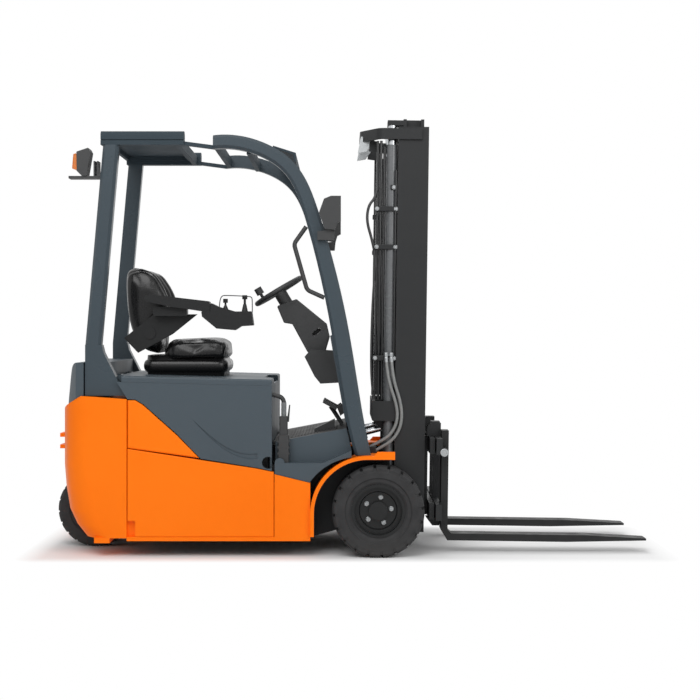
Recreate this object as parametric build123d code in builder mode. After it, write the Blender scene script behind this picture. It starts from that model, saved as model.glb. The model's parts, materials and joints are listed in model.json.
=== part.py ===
"""Three-wheel electric counterbalance forklift: millimetres, +X to the forks, +Y left, +Z up.

Lengths along the truck are measured from the front axle and shifted once, by axle_x, so that
the origin lies on the floor under the middle of the truck.
"""

import os
from math import atan2, cos, hypot, radians, sin

from build123d import *

os.makedirs("parts", exist_ok=True)

# Driving dimensions of the truck
wheelbase = 1450.0
front_tyre_radius = 227.5
front_tyre_width = 165.0
overall_width = 1060.0
rear_tyre_radius = 195.0
rear_tyre_width = 105.0
rear_tyre_gap = 70.0
front_lugs = 20
front_lug_depth = 14.0
rear_lugs = 20
rear_lug_depth = 9.0
body_inset = 30.0
ground_clearance = 80.0
panel = 26.0
seam = 3.0
sheet = 12.0

# Body lines along the truck, from the front axle
door_front = -511.0
hood_front = -525.0
arch_rear = -335.0
arch_top = 500.0
arch_radius = 285.0
fender_thickness = 20.0
fender_front = 82.0
counterweight_length = 373.0
counterweight_overhang = 162.0
tow_reach = 40.0
tow_pin_radius = 12.5

# Heights of the body lines
sill_top = 100.0
door_top_rear = 534.0
door_top_front = 419.0
counterweight_top = 778.0
hood_top_rear = 893.0
hood_top_front = 875.0
lid_thickness = 30.0
cover_top = 959.0
step_height = 464.0
floor_rear_x = -448.0
floor_rear_z = 575.0
floor_front_x = -166.0
floor_front_z = 628.0

# Overhead guard
guard_inset = 27.0
guard_tube = 60.0
roof_top = 2104.0
roof_rail_height = 69.0
leg_width = 78.0
roof_setback = 78.0
roof_step = 144.0
leg_roof_x = -817.0

# Battery
battery_height = 627.0
battery_width = 830.0

# Mast, in its own upright frame about the front axle
mast_tilt = 0.8
mast_back = 83.0
mast_depth = 153.0
mast_wheel_gap = 65.0
mast_bottom = 100.0
outer_top = 2150.0
inner_top = 2190.0
web_thickness = 14.0
flange_thickness = 18.0
flange_length = 58.0
slide_gap = 6.0
inner_flange = 16.0
inner_half_width = 90.0
lift_barrel_radius = 26.0
lift_rod_radius = 20.0
lift_barrel_bottom = 330.0
lift_barrel_top = 2060.0
rod_clearance = 0.3
lift_inset = 38.0
chain_inset = 170.0

# Carriage and forks
fork_face = 354.0
fork_thickness = 35.0
fork_width = 100.0
fork_length = 1000.0
fork_spacing = 580.0
fork_underside = 66.0
fork_top = 618.0
carriage_half_width = 430.0
carriage_height = 407.0
carriage_bottom = 175.0
fork_bar = 30.0
carriage_plate = 24.0

# Front axle and tilt cylinders
axle_tube_radius = 55.0
mast_ring_wall = 28.0
tilt_anchor_x = -300.0
tilt_anchor_z = 530.0
tilt_eye_x = 48.0
tilt_eye_z = 622.0
tilt_inset = 105.0
tilt_barrel_radius = 32.0
tilt_rod_radius = 15.0
tilt_pin_radius = 12.5
pin_clearance = 1.5

# Steering
steering_wheel_radius = 145.0
steering_wheel_tilt = 31.0
steering_wheel_x = -510.0
steering_wheel_z = 1324.0
rim_tube_radius = 13.0
turntable_radius = 120.0
steer_arch_gap = 14.0
running_clearance = 0.3

# Places worked out from the sizes above
fork_tip = fork_face + fork_length
tilt_c = cos(radians(mast_tilt))
tilt_s = sin(radians(mast_tilt))
rear_x = -wheelbase
rear_reach = wheelbase + max(rear_tyre_radius, counterweight_overhang + tow_reach)
front_reach = fork_tip * tilt_c + (fork_underside + fork_thickness / 2 - front_tyre_radius) * tilt_s
axle_x = (rear_reach - front_reach) / 2
axle_z = front_tyre_radius
counterweight_rear = rear_x - counterweight_overhang
seam_x = counterweight_rear + counterweight_length
wheel_inner = overall_width / 2 - front_tyre_width
body_width = overall_width - 2 * body_inset
half_width = body_width / 2
mast_half_width = wheel_inner - mast_wheel_gap
tilt_y = mast_half_width - tilt_inset
lift_y = mast_half_width - lift_inset
chain_y = mast_half_width - chain_inset
roof_rear_x = rear_x + roof_setback
roof_break_x = leg_roof_x - roof_step
wall_y = half_width - panel
leg_outer = half_width - guard_inset
leg_inner = leg_outer - guard_tube
roof_under = roof_top - roof_rail_height
mast_front = mast_back + mast_depth
steer_sweep = hypot(rear_tyre_radius, rear_tyre_gap / 2 + rear_tyre_width) + steer_arch_gap
bay_rear = rear_x + steer_sweep + 2
# mast eye of the tilt cylinder in the mast's own upright frame
eye_local_x = tilt_eye_x * tilt_c - (tilt_eye_z - front_tyre_radius) * tilt_s
eye_local_z = front_tyre_radius + tilt_eye_x * tilt_s + (tilt_eye_z - front_tyre_radius) * tilt_c
door_slope = (door_top_front - door_top_rear) / (door_front - seam_x)


def side(y):
    """Upright plane along the truck: local x forward from the front axle, local y up."""
    return Plane(origin=(axle_x, y, 0), x_dir=(1, 0, 0), z_dir=(0, -1, 0))


def level(z):
    """Horizontal plane at height z: local x forward from the front axle, local y left."""
    return Plane(origin=(axle_x, 0, z), x_dir=(1, 0, 0), z_dir=(0, 0, 1))


def mast_point(x, y, z):
    """Point of the tilted mast from its own upright coordinates."""
    rise = z - axle_z
    return (axle_x + x * tilt_c + rise * tilt_s, y, axle_z - x * tilt_s + rise * tilt_c)


def mast_level(z):
    return Plane(origin=mast_point(0, 0, z), x_dir=(tilt_c, 0, -tilt_s), z_dir=(tilt_s, 0, tilt_c))


def mast_side(y):
    return Plane(origin=mast_point(0, y, 0), x_dir=(tilt_c, 0, -tilt_s), z_dir=(0, -1, 0))


def slab(plane, points, amount, mode=Mode.ADD):
    """Straight-edged plate on a plane."""
    with BuildSketch(plane) as outline:
        with BuildLine():
            Polyline(*points, close=True)
        make_face()
    extrude(outline.sketch, amount=amount, mode=mode)


def bar(plane, x0, x1, y0, y1, amount, mode=Mode.ADD):
    """Rectangular bar raised from a plane."""
    with BuildSketch(plane) as outline:
        with Locations(((x0 + x1) / 2, (y0 + y1) / 2)):
            Rectangle(x1 - x0, y1 - y0)
    extrude(outline.sketch, amount=amount, mode=mode)


def soft_slab(plane, points, radius, amount, mode=Mode.ADD):
    """Plate on a plane with the corners of its outline rounded."""
    with BuildSketch(plane) as outline:
        with BuildLine():
            Polyline(*points, close=True)
        make_face()
        fillet(outline.vertices(), radius=radius)
    extrude(outline.sketch, amount=amount, mode=mode)


def disc(plane, x, y, radius, amount, mode=Mode.ADD):
    """Round bar or hole raised from a plane."""
    with BuildSketch(plane) as outline:
        with Locations((x, y)):
            Circle(radius)
    extrude(outline.sketch, amount=amount, mode=mode)


def door_top(x):
    """Height of the lower door's upper edge."""
    return door_top_rear + door_slope * (x - seam_x)


def floor_z(x):
    """Height of the sloping floor."""
    slope = (floor_front_z - floor_rear_z) / (floor_front_x - floor_rear_x)
    return floor_rear_z + slope * (x - floor_rear_x)


def lid_z(x):
    """Height of the hood lid's top."""
    slope = (hood_top_front - hood_top_rear) / (hood_front - seam_x)
    return hood_top_rear + slope * (x - seam_x)


pieces = {}

# Main frame: battery bay, sills, front side plates and the beam that anchors the tilt cylinders
plate_y = wheel_inner - 20.0
plate_front = 62.0
bay_wall_top = 640.0
bay_front = hood_front
beam_x = tilt_anchor_x - 44.0
beam_top = floor_z(beam_x) - 24.0
ear = 14.0
eye_half = 16.0
with BuildPart() as main_frame:
    bar(level(ground_clearance), bay_rear, arch_rear, -wall_y, wall_y, sheet)
    bar(level(ground_clearance), bay_rear, bay_rear + sheet, -wall_y, wall_y,
        bay_wall_top - ground_clearance)
    bar(level(ground_clearance), bay_front, door_front, -wall_y + sheet / 2, wall_y - sheet / 2,
        step_height - 14 - ground_clearance)
    bar(level(beam_top - 90), beam_x - sheet, beam_x, -plate_y, plate_y, 90)
    bar(level(ground_clearance), arch_rear - sheet, arch_rear, -wall_y, wall_y, 150)
    # right-hand sill, bay wall and front side plate, then the left by mirror
    bar(level(ground_clearance), seam_x, arch_rear, -half_width, -wall_y, sill_top - ground_clearance)
    bar(level(ground_clearance), seam_x, arch_rear, -wall_y, -wall_y + sheet, 366 - ground_clearance)
    bar(level(ground_clearance), seam_x, door_front - sheet, -wall_y, -wall_y + sheet,
        door_top_front - ground_clearance)
    front_plate = [
        (bay_front, ground_clearance),
        (arch_rear, ground_clearance),
        (-120, axle_z - 90),
        (plate_front, axle_z - 70),
        (plate_front, arch_top - fender_thickness),
        (-200, arch_top - fender_thickness),
        (beam_x, beam_top),
        (bay_front, step_height - 14),
    ]
    slab(side(-plate_y + sheet), front_plate, sheet)
    disc(side(-plate_y + sheet), 0, axle_z, axle_tube_radius, sheet, mode=Mode.SUBTRACT)
    for y in (tilt_y - eye_half - pin_clearance - ear, tilt_y + eye_half + pin_clearance):
        slab(side(-y), [(beam_x, beam_top - 90), (beam_x, beam_top),
                        (tilt_anchor_x, tilt_anchor_z + 24), (tilt_anchor_x + 24, tilt_anchor_z),
                        (tilt_anchor_x, tilt_anchor_z - 24)], ear)
    disc(side(-tilt_y + eye_half + ear), tilt_anchor_x, tilt_anchor_z, tilt_pin_radius,
         2 * (eye_half + ear))
    # outer skin of the front side, down from the step to the sill
    slab(side(-wall_y), [(door_front, sill_top), (arch_rear, sill_top), (arch_rear, 366),
                         (door_front, door_top_front - 10)], panel)
    mirror(about=Plane.XZ)
pieces["main_frame"] = main_frame

# Drive axle: tube with a gear case and motor in the middle, and a stub for each wheel hub
hub_seat = wheel_inner + 30.0
stub_radius = 30.0
with BuildPart() as drive_axle:
    disc(side(plate_y + 8), 0, axle_z, axle_tube_radius, 2 * (plate_y + 8))
    disc(side(hub_seat + 60), 0, axle_z, stub_radius, 2 * (hub_seat + 60))
    disc(side(150), 0, axle_z, 90, 300)
    disc(side(205), -190, axle_z + 60, 95, 410)
    slab(side(120), [(-190, axle_z - 30), (0, axle_z - 85), (0, axle_z + 85), (-190, axle_z + 150)], 240)
pieces["drive_axle"] = drive_axle

# Counterweight: plan outlines stacked so that the bowed rear draws in towards the floor
cw_bow = 92.0
cw_corner_radius = 130.0
cw_bottom = 94.0
cw_foot = 70.0
cw_foot_rear, cw_foot_front = rear_x + 51.0, rear_x + 127.0
cw_levels = [(cw_bottom, 104.0), (150.0, 60.0), (220.0, 27.0), (330.0, 9.0), (440.0, 0.0),
             (counterweight_top + 20.0, 0.0)]
arch_roof = 2 * rear_tyre_radius + 42.0
lug_heights = (500.0, 560.0)
lug_thickness = 20.0
lug_half = 50.0
with BuildPart() as counterweight:
    for z, draw_in in cw_levels:
        rear = counterweight_rear + draw_in
        with BuildSketch(level(z)) as plan:
            with BuildLine():
                Line((seam_x, -half_width), (rear + cw_bow, -half_width))
                ThreePointArc((rear + cw_bow, -half_width), (rear, 0), (rear + cw_bow, half_width))
                Line((rear + cw_bow, half_width), (seam_x, half_width))
                Line((seam_x, half_width), (seam_x, -half_width))
            make_face()
            fillet(plan.vertices().group_by(Axis.X)[0], radius=cw_corner_radius)
    loft(ruled=True)
    # top falling towards the rear, with a chamfer behind the cover
    slab(side(half_width + 1), [(seam_x + 1, counterweight_top), (rear_x - 16, counterweight_top + 16),
                                (counterweight_rear + 36, counterweight_top - 48),
                                (counterweight_rear - 1, counterweight_top - 80),
                                (counterweight_rear - 1, counterweight_top + 40),
                                (seam_x + 1, counterweight_top + 40)],
         body_width + 2, mode=Mode.SUBTRACT)
    bar(level(cw_foot), cw_foot_rear, cw_foot_front, -half_width, half_width, cw_bottom - cw_foot + 4)
    disc(level(0), rear_x, 0, steer_sweep, arch_roof, mode=Mode.SUBTRACT)
    bar(level(0), counterweight_rear - 50, rear_x, -steer_sweep, steer_sweep, arch_roof - 60,
        mode=Mode.SUBTRACT)
    fillet(counterweight.edges().filter_by(Axis.Z).group_by(Axis.X)[-1], radius=5)
    # tow lugs with an upright pin hole
    for z in lug_heights:
        bar(level(z), counterweight_rear - tow_reach, counterweight_rear + 30, -lug_half, lug_half,
            lug_thickness)
    disc(level(lug_heights[0]), counterweight_rear - tow_reach / 2, 0, tow_pin_radius,
         lug_heights[1] + lug_thickness - lug_heights[0], mode=Mode.SUBTRACT)
pieces["counterweight"] = counterweight

# Hood hinge line, behind the lid's rear edge
lid_rear = seam_x - 57.0
hinge_x = lid_rear - 16.0
hinge_z = lid_z(lid_rear) - 12.0
hinge_pin_radius = 5.0
hinge_barrel_radius = 10.0
hinge_y0, hinge_y1 = 150.0, 210.0
hinge_ear = 9.0

# Grey cover on the counterweight, between and behind the rear legs of the guard
leg_base_rear = rear_x + 2.0
cover_inset = 14.0
cover_front = rear_x + 115.0
with BuildPart() as rear_cover:
    with BuildSketch(side(half_width)) as cover_side:
        with BuildLine():
            Polyline((cover_front, counterweight_top + 9), (cover_front, cover_top),
                     (rear_x - 30, cover_top))
            Spline((rear_x - 30, cover_top), (rear_x - 82, cover_top - 60),
                   (counterweight_rear + 40, counterweight_top - 40),
                   tangents=((-1, 0), (-0.35, -1)))
            Polyline((counterweight_rear + 40, counterweight_top - 40),
                     (rear_x - 16, counterweight_top + 16.5),
                     (cover_front, counterweight_top + 9))
        make_face()
    extrude(cover_side.sketch, amount=body_width)
    with BuildSketch(level(600)) as cover_plan:
        with BuildLine():
            Polyline((leg_base_rear - 6, -half_width + cover_inset), (leg_base_rear - 6, -leg_inner + 6),
                     (cover_front + 35, -leg_inner + 6), (cover_front + 35, leg_inner - 6),
                     (leg_base_rear - 6, leg_inner - 6), (leg_base_rear - 6, half_width - cover_inset),
                     (counterweight_rear + 120, half_width - cover_inset))
            ThreePointArc((counterweight_rear + 120, half_width - cover_inset),
                          (counterweight_rear + cover_inset, 0),
                          (counterweight_rear + 120, -half_width + cover_inset))
            Line((counterweight_rear + 120, -half_width + cover_inset),
                 (leg_base_rear - 6, -half_width + cover_inset))
        make_face()
    extrude(cover_plan.sketch, amount=500, mode=Mode.INTERSECT)
    # hinge ears with their pins for the hood
    for hand in (-1, 1):
        low, high = sorted((hand * hinge_y0, hand * hinge_y1))
        for y in (low - 1, high + 1 + hinge_ear):
            slab(side(y), [(cover_front - 2, hinge_z - hinge_barrel_radius),
                           (hinge_x, hinge_z - hinge_barrel_radius),
                           (hinge_x, hinge_z + hinge_barrel_radius),
                           (cover_front - 2, hinge_z + hinge_barrel_radius)],
                 hinge_ear)
            disc(side(y), hinge_x, hinge_z, hinge_barrel_radius, hinge_ear)
        disc(side(high + 1 + hinge_ear), hinge_x, hinge_z, hinge_pin_radius,
             high - low + 2 + 2 * hinge_ear)
pieces["rear_cover"] = rear_cover

# Lower side doors with a pull slot in the rear bottom corner
with BuildPart() as side_doors:
    slab(side(-wall_y), [(seam_x + seam, sill_top), (door_front - seam, sill_top),
                         (door_front - seam, door_top_front),
                         (-599, door_top_front + 18), (seam_x + seam, door_top_rear)], panel)
    fillet(side_doors.faces().sort_by(Axis.Y)[0].edges(), radius=6)
    bar(side(-wall_y), seam_x, seam_x + 42, sill_top, sill_top + 80, panel, mode=Mode.SUBTRACT)
    mirror(about=Plane.XZ)
pieces["side_doors"] = side_doors

# Orange corner panels above the doors
corner_panel = 22.0
corner_line = [(seam_x + seam, counterweight_top - 4), (seam_x + 41, counterweight_top - 4),
               (seam_x + 80, 750),
               (seam_x + 245, 603), (seam_x + 358, door_top(seam_x + 358) + 10)]
with BuildPart() as corner_panels:
    slab(side(-wall_y), [(seam_x + seam, door_top_rear + seam), *corner_line], corner_panel)
    fillet(corner_panels.faces().sort_by(Axis.Y)[0].edges(), radius=8)
    mirror(about=Plane.XZ)
pieces["corner_panels"] = corner_panels

# Grey side panels under the hood lid, with a curved crease pressed along the lower half
crease_depth = 5.0
lid_under_rear = lid_z(seam_x) - lid_thickness
lid_under_front = lid_z(hood_front) - lid_thickness
with BuildPart() as hood_sides:
    slab(side(-wall_y),
         [(hood_front, door_top_front + 6), (hood_front, lid_under_front - running_clearance),
                         (seam_x - 50, lid_under_rear + 1 - running_clearance),
                         (seam_x + 3, counterweight_top + 1),
                         (seam_x + 42, counterweight_top - 1), (seam_x + 83, 753), (seam_x + 248, 606),
                         (seam_x + 364,
                          door_top(seam_x + 364) + 9), (-599, door_top_front + 22)], panel - 4)
    with BuildSketch(side(-half_width + 4 + crease_depth)) as crease:
        with BuildLine():
            Spline((hood_front - 389, 677), (hood_front - 275, 563), (hood_front - 150, 491),
                   (hood_front - 71, 485))
            Line((hood_front - 71, 485), (hood_front - 71, 512))
            Spline((hood_front - 71, 512), (hood_front - 165, 518), (hood_front - 306, 602),
                   (hood_front - 389, 677))
        make_face()
    extrude(crease.sketch, amount=20, mode=Mode.SUBTRACT)
    # rounded notch for the door latch
    disc(side(-wall_y), hood_front - 18, door_top_front + 46, 30, panel, mode=Mode.SUBTRACT)
    mirror(about=Plane.XZ)
pieces["hood_sides"] = hood_sides

# Battery block standing on the bay floor
with BuildPart() as battery:
    bar(level(ground_clearance + sheet), bay_rear + sheet + 6, hood_front - 16, -battery_width / 2,
        battery_width / 2,
        battery_height)
    fillet(battery.edges().filter_by(Axis.Z), radius=10)
pieces["battery"] = battery

# Hood front wall, between the two side panels
front_wall = 10.0
with BuildPart() as hood_front_wall:
    bar(level(step_height - 40), hood_front - front_wall, hood_front, -wall_y + sheet, wall_y - sheet,
        lid_under_front - running_clearance - step_height + 40)
pieces["hood_front_wall"] = hood_front_wall

# Floor plate with its mat, sloping up to the front
floor_thickness = 16.0
riser_y = plate_y + 62.0
with BuildPart() as floor_plate:
    rear, front = hood_front + 4, floor_front_x + 10
    slab(side(riser_y), [(rear, floor_z(rear) - floor_thickness),
                         (front, floor_z(front) - floor_thickness),
                              (front, floor_z(front)), (rear, floor_z(rear))], 2 * riser_y)
pieces["floor_plate"] = floor_plate

# Steps: tread, riser to the floor and the grey skin above the arch
tread = 14.0
with BuildPart() as steps:
    slab(side(-plate_y), [(door_front + 1, step_height - tread), (-268, step_height - tread),
                          (-132, 510),
                          (-132, 524), (-272, step_height), (door_front + 1, step_height)],
                          half_width - plate_y)
    slab(side(-riser_y), [(door_front + 1, step_height), (-272, step_height), (-132, 524),
                          (floor_front_x + 10, floor_z(floor_front_x + 10)), (door_front + 1,
                                                                              floor_z(door_front + 1))],
         sheet)
    with BuildSketch(side(-wall_y)) as skin:
        with BuildLine():
            Polyline((arch_rear - 3, 369), (door_front + 1, door_top_front - 8),
                     (door_front + 1, step_height - tread),
                     (-268, step_height - tread), (-132, 510), (-132, arch_top - 8))
            RadiusArc((-132, arch_top - 8), (arch_rear - 3, 369), -arch_radius - 12)
        make_face()
    extrude(skin.sketch, amount=panel)
    disc(side(-half_width + 23), door_front + 25, step_height, 24, 22)
    mirror(about=Plane.XZ)
pieces["steps"] = steps

# Front fenders: one bent strip over each front tyre
fender_inner = plate_y + 1.0
fender_outer = half_width + 20.0
with BuildPart() as fenders:
    with BuildSketch(side(-fender_inner)) as strip:
        with BuildLine() as outer_edge:
            FilletPolyline((arch_rear, sill_top + seam), (arch_rear, arch_top), (fender_front, arch_top),
                           radius=arch_radius)
        with BuildLine() as inner_edge:
            FilletPolyline((fender_front, arch_top - fender_thickness),
                           (arch_rear + fender_thickness, arch_top - fender_thickness),
                           (arch_rear + fender_thickness, sill_top + seam),
                           radius=arch_radius - fender_thickness)
            Line((arch_rear + fender_thickness, sill_top + seam), (arch_rear, sill_top + seam))
            Line((fender_front, arch_top), (fender_front, arch_top - fender_thickness))
        make_face()
    extrude(strip.sketch, amount=fender_outer - fender_inner)
    # raised lip at the front end
    slab(side(-fender_outer + 24), [(-22, arch_top), (fender_front, arch_top),
                                    (fender_front, arch_top + 20),
                                    (-4, arch_top + 20)], 24)
    mirror(about=Plane.XZ)
pieces["fenders"] = fenders

# Guard: front legs that bend into the roof
leg_foot = arch_top
with BuildPart() as guard_front_legs:
    with BuildSketch(side(-leg_inner)) as leg:
        with BuildLine():
            Spline((-35, leg_foot), (-145, 1119), (-294, roof_top - 400), (-412, roof_top - 161),
                   (-578, roof_top - 52), (leg_roof_x, roof_top - 21))
            Line((leg_roof_x, roof_top - 21), (leg_roof_x, roof_top - 88))
            Spline((leg_roof_x, roof_top - 88), (-602, roof_top - 116), (-469, roof_top - 201),
                   (-365, roof_top - 419), (-233, 1119), (-114, leg_foot))
            Line((-114, leg_foot), (-35, leg_foot))
        make_face()
    extrude(leg.sketch, amount=guard_tube)
    outer_face = guard_front_legs.faces().sort_by(Axis.Y)[0]
    chamfer(outer_face.edges().filter_by(lambda e: e.length > 500), length=14)
    mirror(about=Plane.XZ)
pieces["guard_front_legs"] = guard_front_legs

# Guard: rear legs with their spread feet on the counterweight
lean = 83.0 / 938.0
with BuildPart() as guard_rear_legs:
    base_top = 1046.0
    foot_z = counterweight_top + 16.5
    top_x = roof_rear_x + 11.0
    low_x = top_x - lean * (roof_under - base_top)
    slab(side(-leg_inner), [(low_x, base_top), (low_x + leg_width, base_top),
                            (top_x + leg_width, roof_under),
                            (top_x, roof_under)], guard_tube)
    chamfer(guard_rear_legs.faces().sort_by(Axis.Y)[0].edges().filter_by(lambda e: e.length > 500),
            length=14)
    slab(side(-leg_inner + 4), [(leg_base_rear, foot_z), (seam_x - 10, foot_z),
                                (low_x + leg_width + 14, base_top - 40),
                                (low_x + leg_width + 4, base_top), (leg_base_rear, base_top)],
                                guard_tube + 4)
    mirror(about=Plane.XZ)
pieces["guard_rear_legs"] = guard_rear_legs

# Guard: rear roof rails, the closed rear panel between them and the thin straps to the front legs
with BuildPart() as guard_roof:
    slab(side(-leg_inner), [(roof_rear_x, roof_under), (roof_break_x, roof_under),
                            (roof_break_x, roof_top),
                            (roof_rear_x, roof_top)], guard_tube)
    fillet(guard_roof.edges().filter_by(Axis.X).group_by(Axis.Z)[-1], radius=22)
    bar(side(-leg_outer + 5), roof_rear_x, roof_break_x, roof_under + 21, roof_under + 27, 10,
        mode=Mode.SUBTRACT)
    slab(side(-leg_inner - 12), [(roof_break_x, roof_under), (leg_roof_x, 2016), (leg_roof_x, 2034),
                                 (roof_break_x, roof_under + 18)], guard_tube - 24)
    mirror(about=Plane.XZ)
    slab(side(leg_inner), [(roof_rear_x, roof_under + 20), (roof_break_x - 50, roof_under + 20),
                           (roof_break_x - 50, roof_top - 14), (roof_break_x - 80, roof_top - 8),
                           (roof_rear_x, roof_top - 8)], 2 * leg_inner)
    slab(side(leg_inner - 20), [(roof_rear_x + 18, roof_under + 20),
                                (roof_break_x - 68, roof_under + 20),
                                (roof_break_x - 68, roof_top - 26), (roof_rear_x + 18, roof_top - 26)],
         2 * leg_inner - 40, mode=Mode.SUBTRACT)
pieces["guard_roof"] = guard_roof

# Guard: cross bars and the front visor between the legs
with BuildPart() as roof_bars:
    for x, z in ((roof_break_x - 31, roof_under), (-800, roof_top - 84), (-640, roof_top - 108)):
        slab(side(leg_inner), [(x - 14, z), (x + 10, z), (x + 14, z + 44), (x - 10, z + 44)],
             2 * leg_inner)
    slab(side(leg_inner), [(-523, roof_top - 78), (-523, roof_top - 66), (-409, roof_top - 102),
                           (-409, roof_top - 146), (-419, roof_top - 146), (-421, roof_top - 110)],
         2 * leg_inner)
pieces["roof_bars"] = roof_bars

# Front cowl between the legs, carrying the steering column
cowl_thickness = 30.0
cowl_low, cowl_high = 660.0, 1090.0
cowl_low_x, cowl_high_x = -132.0, -208.0


def cowl_rear(z):
    """Rear face of the leaning cowl."""
    lean_x = (cowl_high_x - cowl_low_x) * (z - cowl_low) / (cowl_high - cowl_low)
    return cowl_low_x + lean_x - cowl_thickness


with BuildPart() as cowl:
    slab(side(leg_inner), [(cowl_low_x, cowl_low), (cowl_high_x, cowl_high),
                           (cowl_rear(cowl_high), cowl_high),
                           (cowl_rear(cowl_low), cowl_low)], 2 * leg_inner)
pieces["cowl"] = cowl

wheel_turn = radians(steering_wheel_tilt)
wheel_plane = Plane(origin=(axle_x + steering_wheel_x, 0, steering_wheel_z),
                    x_dir=(cos(wheel_turn), 0, sin(wheel_turn)),
                    z_dir=(-sin(wheel_turn), 0, cos(wheel_turn)))

# Steering column: collar under the wheel, upper housing with a lever slot, and a wider knee cover
column_half = 55.0
knee_half = 105.0
collar_radius = 34.0
with BuildPart() as steering_column:
    soft_slab(side(column_half), [(-519, 1244), (-416, 1281), (-258, 1152), (-242, 1083), (-266, 1000),
                                  (-358, 1002),
                                  (-438, 1149), (-482, 1156)], 9, 2 * column_half)
    fillet(steering_column.faces().sort_by(Axis.Y)[0].edges(), radius=6)
    fillet(steering_column.faces().sort_by(Axis.Y)[-1].edges(), radius=6)
    disc(wheel_plane.offset(-100), 0, 0, collar_radius, 60 - running_clearance)
    slab(side(knee_half), [(-373, 980), (-340, 1018), (cowl_rear(1010), 1010), (cowl_rear(845), 845),
                           (-290, 840),
                           (-321, 878)], 2 * knee_half)
    with BuildSketch(side(column_half + 1)) as lever_slot:
        with Locations(Location((-312, 1108), 39)):
            SlotOverall(52, 20)
    extrude(lever_slot.sketch, amount=2 * column_half + 2, mode=Mode.SUBTRACT)
pieces["steering_column"] = steering_column

# Steering wheel: rim, three spokes, hub and a turning knob
with BuildPart() as steering_wheel:
    with BuildSketch(Plane(origin=wheel_plane.origin, x_dir=wheel_plane.x_dir,
                           z_dir=(0, -1, 0))) as rim_section:
        with Locations((steering_wheel_radius - rim_tube_radius, 0)):
            Circle(rim_tube_radius)
    revolve(rim_section.sketch, axis=Axis(wheel_plane.origin, wheel_plane.z_dir))
    hub_plane = wheel_plane.offset(-40)
    disc(hub_plane, 0, 0, 34, 34)
    for turn in (90, 210, 330):
        with BuildSketch(wheel_plane.offset(-16)) as spoke:
            with Locations(Rot(0, 0, turn)):
                with Locations((steering_wheel_radius / 2, 0)):
                    Rectangle(steering_wheel_radius - rim_tube_radius, 24)
        extrude(spoke.sketch, amount=10)
    disc(wheel_plane, -0.6 * steering_wheel_radius, -0.62 * steering_wheel_radius, 8, 44)
    disc(wheel_plane.offset(30), -0.6 * steering_wheel_radius, -0.62 * steering_wheel_radius, 20, 36)
pieces["steering_wheel"] = steering_wheel

# Pedals on their arms
with BuildPart() as pedals:
    for y, x, z in ((-150, -245, 716), (30, -245, 716)):
        slab(side(y + 8), [(x + 40, z + 6), (x + 58, z - 40), (cowl_rear(690), 690),
                           (cowl_rear(720), 720), (x + 60, z + 20)], 16)
        slab(side(y + 45), [(x - 33, z + 30), (x + 36, z - 8), (x + 44, z + 6), (x - 25, z + 44)], 90)
    slab(side(-170), [(-320, floor_z(-320) + 0.3), (-215, floor_z(-215) + 0.3),
                      (-215, floor_z(-215) + 46), (-320, floor_z(-320) + 16)],
         80)
pieces["pedals"] = pedals

# Hood lid: thin, with rounded edges and a shallow scoop at the middle of the front edge
scoop = 50.0
with BuildPart() as hood_lid:
    slab(side(half_width - 3), [(lid_rear, lid_z(lid_rear) - lid_thickness),
                                (hood_front, lid_under_front),
                                (hood_front, lid_z(hood_front)), (lid_rear,
                                                                  lid_z(lid_rear))], body_width - 6)
    fillet(hood_lid.faces().sort_by(Axis.Z)[-1].edges(), radius=10)
    slab(level(lid_under_front - 10), [(hood_front + 5, -240), (hood_front - scoop, -190),
                                       (hood_front - scoop, 190),
                                       (hood_front + 5, 240)], 100, mode=Mode.SUBTRACT)
    bar(level(lid_under_front - 20), lid_rear - 5, seam_x - 26, -half_width, -leg_inner + 10, 200,
        mode=Mode.SUBTRACT)
    bar(level(lid_under_front - 20), lid_rear - 5, seam_x - 26, leg_inner - 10, half_width, 200,
        mode=Mode.SUBTRACT)
    for hand in (-1, 1):
        high = max(hand * hinge_y0, hand * hinge_y1)
        disc(side(high), hinge_x, hinge_z, hinge_barrel_radius, hinge_y1 - hinge_y0)
        bar(side(high), hinge_x, lid_rear + 2, hinge_z - 7, hinge_z + 7, hinge_y1 - hinge_y0)
        disc(side(high), hinge_x, hinge_z, hinge_pin_radius + running_clearance, hinge_y1 - hinge_y0,
             mode=Mode.SUBTRACT)
pieces["hood_lid"] = hood_lid

# Seat: pan on the lid, cushion, back, arm rest and its control console
seat_half = 240.0
seat_length = 364.0
seat_setback = 350.0
seat_rear = rear_x + seat_setback
seat_front = seat_rear + seat_length
cushion_bottom = 993.0
with BuildPart() as seat_pan:
    soft_slab(side(seat_half - 30), [(seat_rear - 50, lid_z(seat_rear - 50)),
                                     (seat_front - 30, lid_z(seat_front - 30)),
                                     (seat_front - 8, 930), (seat_front - 14, cushion_bottom),
                                     (seat_rear - 60, cushion_bottom), (seat_rear - 78, 930)], 6,
                                     2 * seat_half - 60)
pieces["seat_pan"] = seat_pan
with BuildPart() as seat_cushion:
    slab(side(seat_half), [(seat_rear, cushion_bottom + 0.3), (seat_front - 10, cushion_bottom + 0.3),
                           (seat_front, 1042),
                           (seat_front - 60, 1072), (seat_rear + 30, 1066), (seat_rear, 1040)],
                           2 * seat_half)
    fillet(seat_cushion.edges(), radius=9)
pieces["seat_cushion"] = seat_cushion
with BuildPart() as seat_back:
    slab(side(seat_half), [(seat_rear - 60, cushion_bottom + 0.3), (seat_rear - 4, cushion_bottom + 0.3),
                           (seat_rear - 2, 1110), (seat_rear + 57, 1180), (seat_rear + 45, 1300),
                           (seat_rear - 25, 1425), (seat_rear - 90, 1448), (seat_rear - 162, 1440),
                           (seat_rear - 196, 1402), (seat_rear - 190, 1240),
                           (seat_rear - 167, 1110)], 2 * seat_half)
    fillet(seat_back.edges().filter_by(Axis.Y), radius=4)
pieces["seat_back"] = seat_back
arm_y = 330.0
arm_half = 40.0
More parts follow.
